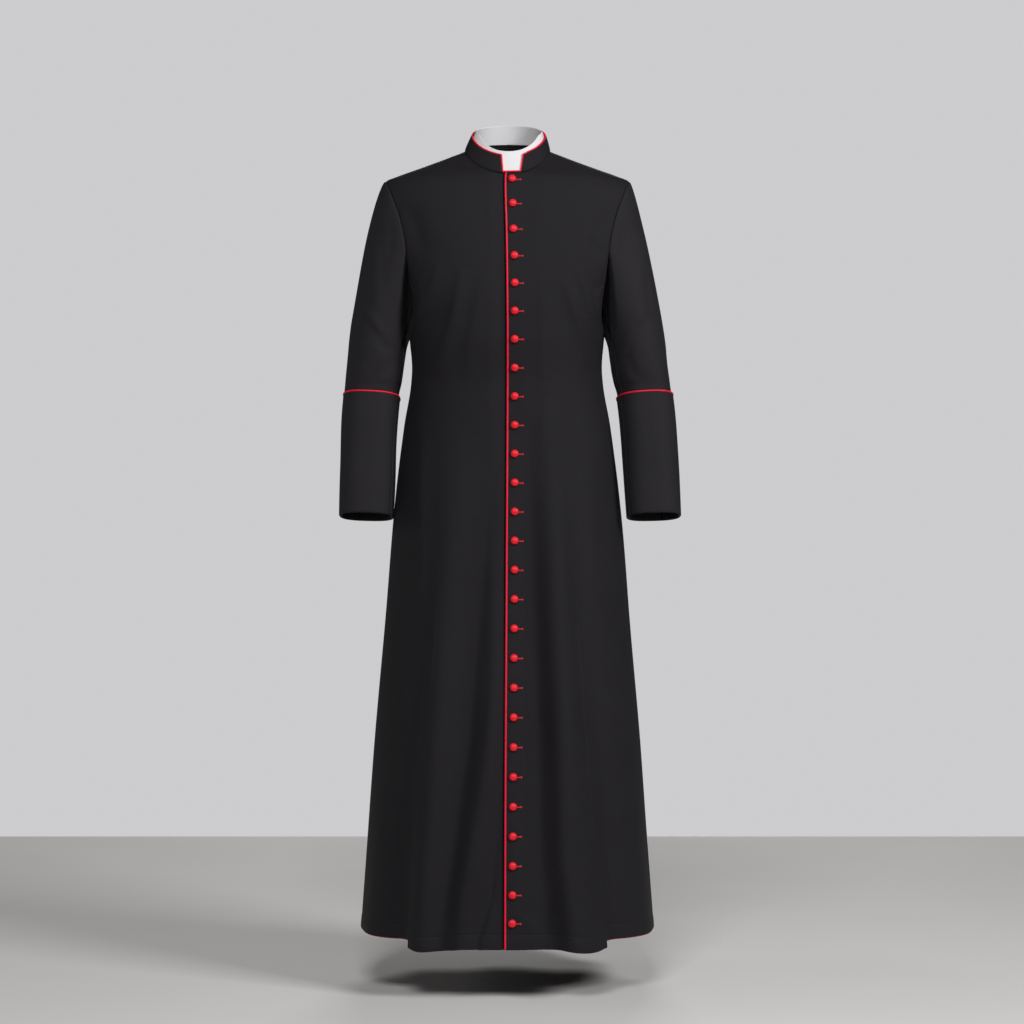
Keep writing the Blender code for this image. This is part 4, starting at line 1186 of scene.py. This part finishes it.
def make_buttonholes(tree, material):
    """Worked buttonholes: a corded bar laid on the cloth from behind each button, of radius 1 mm
    (1 + bell at its knot) (1 + 0.1 sin(30 pi share)), rounded off at its end."""
    share = np.linspace(0, 1, BAR_POINTS)
    knot = bell(share - 0.87, 0.10)
    radius = ((0.0010 + 0.0010 * knot) * (1 + 0.10 * np.sin(share * 2 * math.pi * 15))
              * np.sqrt(np.clip((1 - share) / 0.06, 0, 1)))[:, None, None]
    turn = np.linspace(0, 2 * math.pi, BAR_SIDES, endpoint=False)[None, :, None]
    drops = button_drops()
    bars = []
    for out, drop in zip(along(BUTTON_LINE, "out", drops), drops):
        reach = np.linspace(out + BAR_START, out + BAR_END, BAR_POINTS)
        seat, facings = seats(tree, reach, np.full(BAR_POINTS, drop + BAR_BELOW))
        tall = unit(np.cross(facings, np.array((1.0, 0, 0))))[:, None]
        ring = radius * (np.cos(turn) * tall * 1.15 + np.sin(turn) * facings[:, None] * 0.75)
        bars.append(seat[:, None] + ring + facings[:, None] * 0.0002)
    piece = place("buttonhole_bars", forms_mesh("buttonhole_bars", np.stack(bars)), material)
    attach(piece, "root")
    return piece


# ---------------------------------------------------------------- finishes

def linear(hex_colour):
    """An sRGB hex colour as linear RGBA: c / 12.92 when dark, else ((c + 0.055) / 1.055)^2.4."""
    parts = [int(hex_colour[i:i + 2], 16) / 255 for i in (1, 3, 5)]
    return (*(c / 12.92 if c <= 0.04045 else ((c + 0.055) / 1.055) ** 2.4 for c in parts), 1.0)


def feed(tree, made, sockets):
    """Fills a node's sockets, by name or number, each with a value or the output that feeds it."""
    for socket, source in sockets.items():
        if isinstance(source, bpy.types.NodeSocket):
            tree.links.new(source, made.inputs[socket])
        else:
            made.inputs[socket].default_value = source


def node(tree, kind, sockets=None, output=0, **properties):
    """Adds a node with its properties, fills its sockets and returns one of its outputs."""
    made = tree.nodes.new(kind)
    for key, value in properties.items():
        setattr(made, key, value)
    feed(tree, made, sockets or {})
    return made.outputs[output]


def ridge_scale(pitch):
    """A wave texture's scale for ridges this far apart, in metres: 0.314 / pitch, near pi / 10."""
    return 0.314 / pitch


def new_material(name):
    """An empty material, its node tree and its shader."""
    made = bpy.data.materials.new(name)
    made.use_nodes = True
    tree = made.node_tree
    return made, tree, tree.nodes["Principled BSDF"]


def gabardine(name, dark, light):
    """Black worsted gabardine, woven as a steep twill: a near-black matt cloth whose fine slanting
    ribs and slubs break the light up softly, with a faint dusty sheen where it turns away."""
    made, tree, shader = new_material(name)
    # ribs of the twill slant at about 60 degrees; real ones are 0.5 mm apart, drawn 1.5 mm to show
    uv = node(tree, "ShaderNodeUVMap", uv_map="cloth")
    turned = node(tree, "ShaderNodeMapping", {"Vector": uv, "Rotation": (0, 0, math.radians(30))})
    ribs = node(tree, "ShaderNodeTexWave",
                {"Vector": turned, "Scale": ridge_scale(0.0015), "Distortion": 0.8, "Detail": 1.0},
                "Fac", wave_type="BANDS", bands_direction="X", wave_profile="SIN")
    coords = node(tree, "ShaderNodeTexCoord", output="Object")
    slub, cloudy = (
        node(tree, "ShaderNodeTexNoise",
             {"Vector": coords, "Scale": scale, "Detail": detail, "Roughness": rough}, "Fac")
        for scale, detail, rough in ((420.0, 3.0, 0.6), (9.0, 4.0, 0.55)))
    weave = node(tree, "ShaderNodeMath", {0: ribs, 1: slub}, operation="ADD")
    tone = node(tree, "ShaderNodeMath", {0: weave, 1: cloudy}, operation="ADD")
    spread = node(tree, "ShaderNodeMapRange", {"Value": tone, "From Min": 0.6, "From Max": 2.4})
    colour = node(tree, "ShaderNodeMix", {"Factor": spread, 6: linear(dark), 7: linear(light)}, 2,
                  data_type="RGBA")
    # pressed seams and the underlap's ditch get a line a thread or two wide, and a weaker one where
    # the seams' turnings end: a groove in the surface, and painted shade that darkens their colour
    # towards near-black
    seam_groove_and_shade, stitched = (node(tree, "ShaderNodeAttribute", output="Fac", attribute_name=mark_name)
                        for mark_name in ("seam_groove_and_shade", "stitched"))
    plain = node(tree, "ShaderNodeMapRange", {"Value": seam_groove_and_shade, "From Min": 0.935, "From Max": 0.99})
    seam = node(tree, "ShaderNodeMapRange", {"Value": stitched, "From Min": 0.93, "From Max": 0.97})
    turning = node(tree, "ShaderNodeMath", {0: stitched, 1: 0.73}, operation="SUBTRACT")
    turning = node(tree, "ShaderNodeMath", {0: turning}, operation="ABSOLUTE")
    turning = node(tree, "ShaderNodeMapRange",
                   {"Value": turning, "From Max": 0.04, "To Min": 0.55, "To Max": 0.0})
    line = node(tree, "ShaderNodeMath", {0: plain, 1: seam}, operation="MAXIMUM")
    line = node(tree, "ShaderNodeMath", {0: line, 1: turning}, operation="MAXIMUM")
    # painted shade: how far the line mixes the base colour towards near-black #060506
    depth = node(tree, "ShaderNodeMath", {0: line, 1: 0.85}, operation="MULTIPLY")
    raised = node(tree, "ShaderNodeBump", {"Height": weave, "Strength": 0.30, "Distance": 0.00025})
    feed(tree, shader, {
        "Base Color": node(tree, "ShaderNodeMix",
                           {"Factor": depth, 6: colour, 7: linear("#060506")}, 2, data_type="RGBA"),
        "Normal": node(tree, "ShaderNodeBump",
                       {"Height": line, "Normal": raised, "Strength": 0.6, "Distance": 0.0006},
                       invert=True),
        "Roughness": node(tree, "ShaderNodeMapRange",
                          {"Value": cloudy, "To Min": 0.66, "To Max": 0.80}),
        "Specular IOR Level": 0.18, "IOR": 1.45,
        "Sheen Weight": 0.03, "Sheen Roughness": 0.45, "Sheen Tint": linear("#b9b4bd"),
    })
    return made


def satin(name, dark, light, roughness, pitch, raised=0.25):
    """Red rayon satin: long floats lying one way, so it glows softly and shows fine slanting
    threads. The pitch is coarser than real thread, to show."""
    made, tree, shader = new_material(name)
    coords = node(tree, "ShaderNodeTexCoord", output="Object")
    turned = node(tree, "ShaderNodeMapping", {"Vector": coords, "Rotation": (0.5, 0.3, 0.8)})
    threads = node(
        tree, "ShaderNodeTexWave",
        {"Vector": turned, "Scale": ridge_scale(pitch), "Distortion": 1.5, "Detail": 2.0},
        "Fac", wave_type="BANDS", bands_direction="DIAGONAL", wave_profile="SIN")
    mottle = node(tree, "ShaderNodeTexNoise",
                  {"Vector": coords, "Scale": 160.0, "Detail": 3.0}, "Fac")
    both = node(tree, "ShaderNodeMath", {0: threads, 1: mottle}, operation="ADD")
    spread = node(tree, "ShaderNodeMapRange", {"Value": both, "From Min": 0.3, "From Max": 1.7})
    feed(tree, shader, {
        "Base Color": node(tree, "ShaderNodeMix",
                           {"Factor": spread, 6: linear(dark), 7: linear(light)}, 2,
                           data_type="RGBA"),
        "Normal": node(tree, "ShaderNodeBump",
                       {"Height": both, "Strength": raised, "Distance": 0.0002}),
        "Roughness": roughness, "Specular IOR Level": 0.30, "IOR": 1.5,
    })
    return made


def starched_cotton():
    """Starched white cotton, pressed flat: bright and even, with a tight plain weave and a low
    gloss."""
    made, tree, shader = new_material("starched_cotton_pressed")
    uv = node(tree, "ShaderNodeUVMap", uv_map="cloth")
    # real threads are 0.25 mm apart, drawn 0.9 mm to show
    warp, weft = (
        node(tree, "ShaderNodeTexWave", {"Vector": uv, "Scale": ridge_scale(0.0009)}, "Fac",
             wave_type="BANDS", bands_direction=direction, wave_profile="SIN")
        for direction in "XY")
    weave = node(tree, "ShaderNodeMath", {0: warp, 1: weft}, operation="MULTIPLY")
    spread = node(tree, "ShaderNodeMapRange", {"Value": weave})
    feed(tree, shader, {
        "Base Color": node(tree, "ShaderNodeMix",
                           {"Factor": spread, 6: linear("#e1e0e2"), 7: linear("#ecebec")}, 2,
                           data_type="RGBA"),
        "Normal": node(tree, "ShaderNodeBump",
                       {"Height": weave, "Strength": 0.12, "Distance": 0.0001}),
        "Roughness": 0.55, "IOR": 1.45,
    })
    return made


def pale_paint():
    """Matt pale paint on a smooth floor: even, with the slightest mottle."""
    made, tree, shader = new_material("pale_matt_paint_rolled")
    coords = node(tree, "ShaderNodeTexCoord", output="Object")
    mottle = node(tree, "ShaderNodeTexNoise",
                  {"Vector": coords, "Scale": 3.0, "Detail": 3.0}, "Fac")
    colour = node(tree, "ShaderNodeMix",
                  {"Factor": mottle, 6: linear("#dcdad8"), 7: linear("#e2e0de")}, 2,
                  data_type="RGBA")
    feed(tree, shader, {"Base Color": colour, "Roughness": 0.9})
    return made


# ---------------------------------------------------------------- studio

def stage():
    """A square of pale floor round the garment's foot."""
    out, deep = np.meshgrid(np.linspace(-FLOOR_HALF, FLOOR_HALF, 5),
                            np.linspace(FLOOR_HALF, -FLOOR_HALF, 5))
    points = np.stack((out, deep, np.full(out.shape, FLOOR)), -1)
    place("pale_floor", grid_mesh("pale_floor", points, points[..., :2]), pale_paint())


def soft_light(name, where, size, power):
    """A soft box aimed at the garment's middle, in watts."""
    lamp = bpy.data.lights.new(name, "AREA")
    lamp.shape, lamp.size, lamp.size_y = "RECTANGLE", size[0], size[1]
    lamp.energy = power
    made = bpy.data.objects.new(name, lamp)
    made.location = where
    made.rotation_euler = (Vector(MIDDLE) - Vector(where)).to_track_quat("-Z", "Y").to_euler()
    made.visible_camera = False
    bpy.context.scene.collection.objects.link(made)


def room():
    """A dim, even room, whose walls show pale."""
    world = bpy.data.worlds.new("soft_room")
    bpy.context.scene.world = world
    world.use_nodes = True
    tree = world.node_tree
    seen = node(tree, "ShaderNodeLightPath", output="Is Camera Ray")
    strength = node(tree, "ShaderNodeMapRange", {"Value": seen, "To Min": 0.03, "To Max": 0.62})
    feed(tree, tree.nodes["Background"], {"Color": (0.98, 0.98, 1.0, 1), "Strength": strength})


def studio():
    """The floor, the room, four soft lights and the camera."""
    stage()
    room()
    soft_light("key", (2.85, -2.37, 1.40), (1.3, 1.3), 100)
    soft_light("fill", (-0.40, -3.44, 1.80), (1.3, 1.3), 84)
    soft_light("low_side", (-4.46, 0.79, 0.10), (1.4, 1.4), 20)
    soft_light("rear", (0.3, 4.3, 1.3), (1.6, 1.2), 60)
    bpy.context.scene.view_settings.view_transform = "Standard"
    lens = bpy.data.cameras.new("camera")
    lens.lens, lens.sensor_width = LENS, SENSOR
    camera = bpy.data.objects.new("camera", lens)
    camera.location = CAMERA_PLACE
    camera.rotation_euler = (math.pi / 2, 0, 0)
    bpy.context.scene.collection.objects.link(camera)
    bpy.context.scene.camera = camera


# ---------------------------------------------------------------- making it

def main():
    """Makes the garment's pieces side by side, then the trims that lie on them, and the studio."""
    cloth = gabardine("black_gabardine_woven_twill", "#171518", "#242225")
    # painted light: the sleeves and cuffs get a lighter copy of the same cloth, which lifts them a
    # little
    painted_lighter_sleeve_cloth = gabardine("black_gabardine_painted_lighter", "#1b191c", "#2a282b")
    piping = satin("red_rayon_satin_corded", "#e4173a", "#f5203f", 0.5, 0.0012)
    button_satin = satin("red_rayon_satin_stretched", "#e5172a", "#f62635", 0.40, 0.0011, 0.08)
    thread = satin("red_silk_twist_worked", "#b81a2c", "#dc2a3c", 0.55, 0.0010)
    tape = satin("red_cotton_tape_woven", "#8f1226", "#b81d35", 0.6, 0.0012)
    panels = {}
    for side, word in ((1, "left"), (-1, "right")):
        for kind in ("front", "side", "back"):
            panels[kind, word] = make_panel(side, word, kind, cloth)
        make_hem_tape(panels["side", word][1], side, word, tape)
        make_sleeve(side, word, painted_lighter_sleeve_cloth)
        make_cuff(side, word, painted_lighter_sleeve_cloth, piping)
    make_collar(cloth, piping)
    make_insert(starched_cotton())
    front, edge = panels["front", "left"][:2]
    bpy.context.view_layer.update()
    tree = BVHTree.FromObject(front, bpy.context.evaluated_depsgraph_get())
    trims = [make_front_piping(edge, piping), make_buttons(tree, button_satin),
             make_buttonholes(tree, thread)]
    for piece, _, points in panels.values():
        cut(piece, points, "hung", with_pieces=trims if piece == front else [])
    studio()


main()
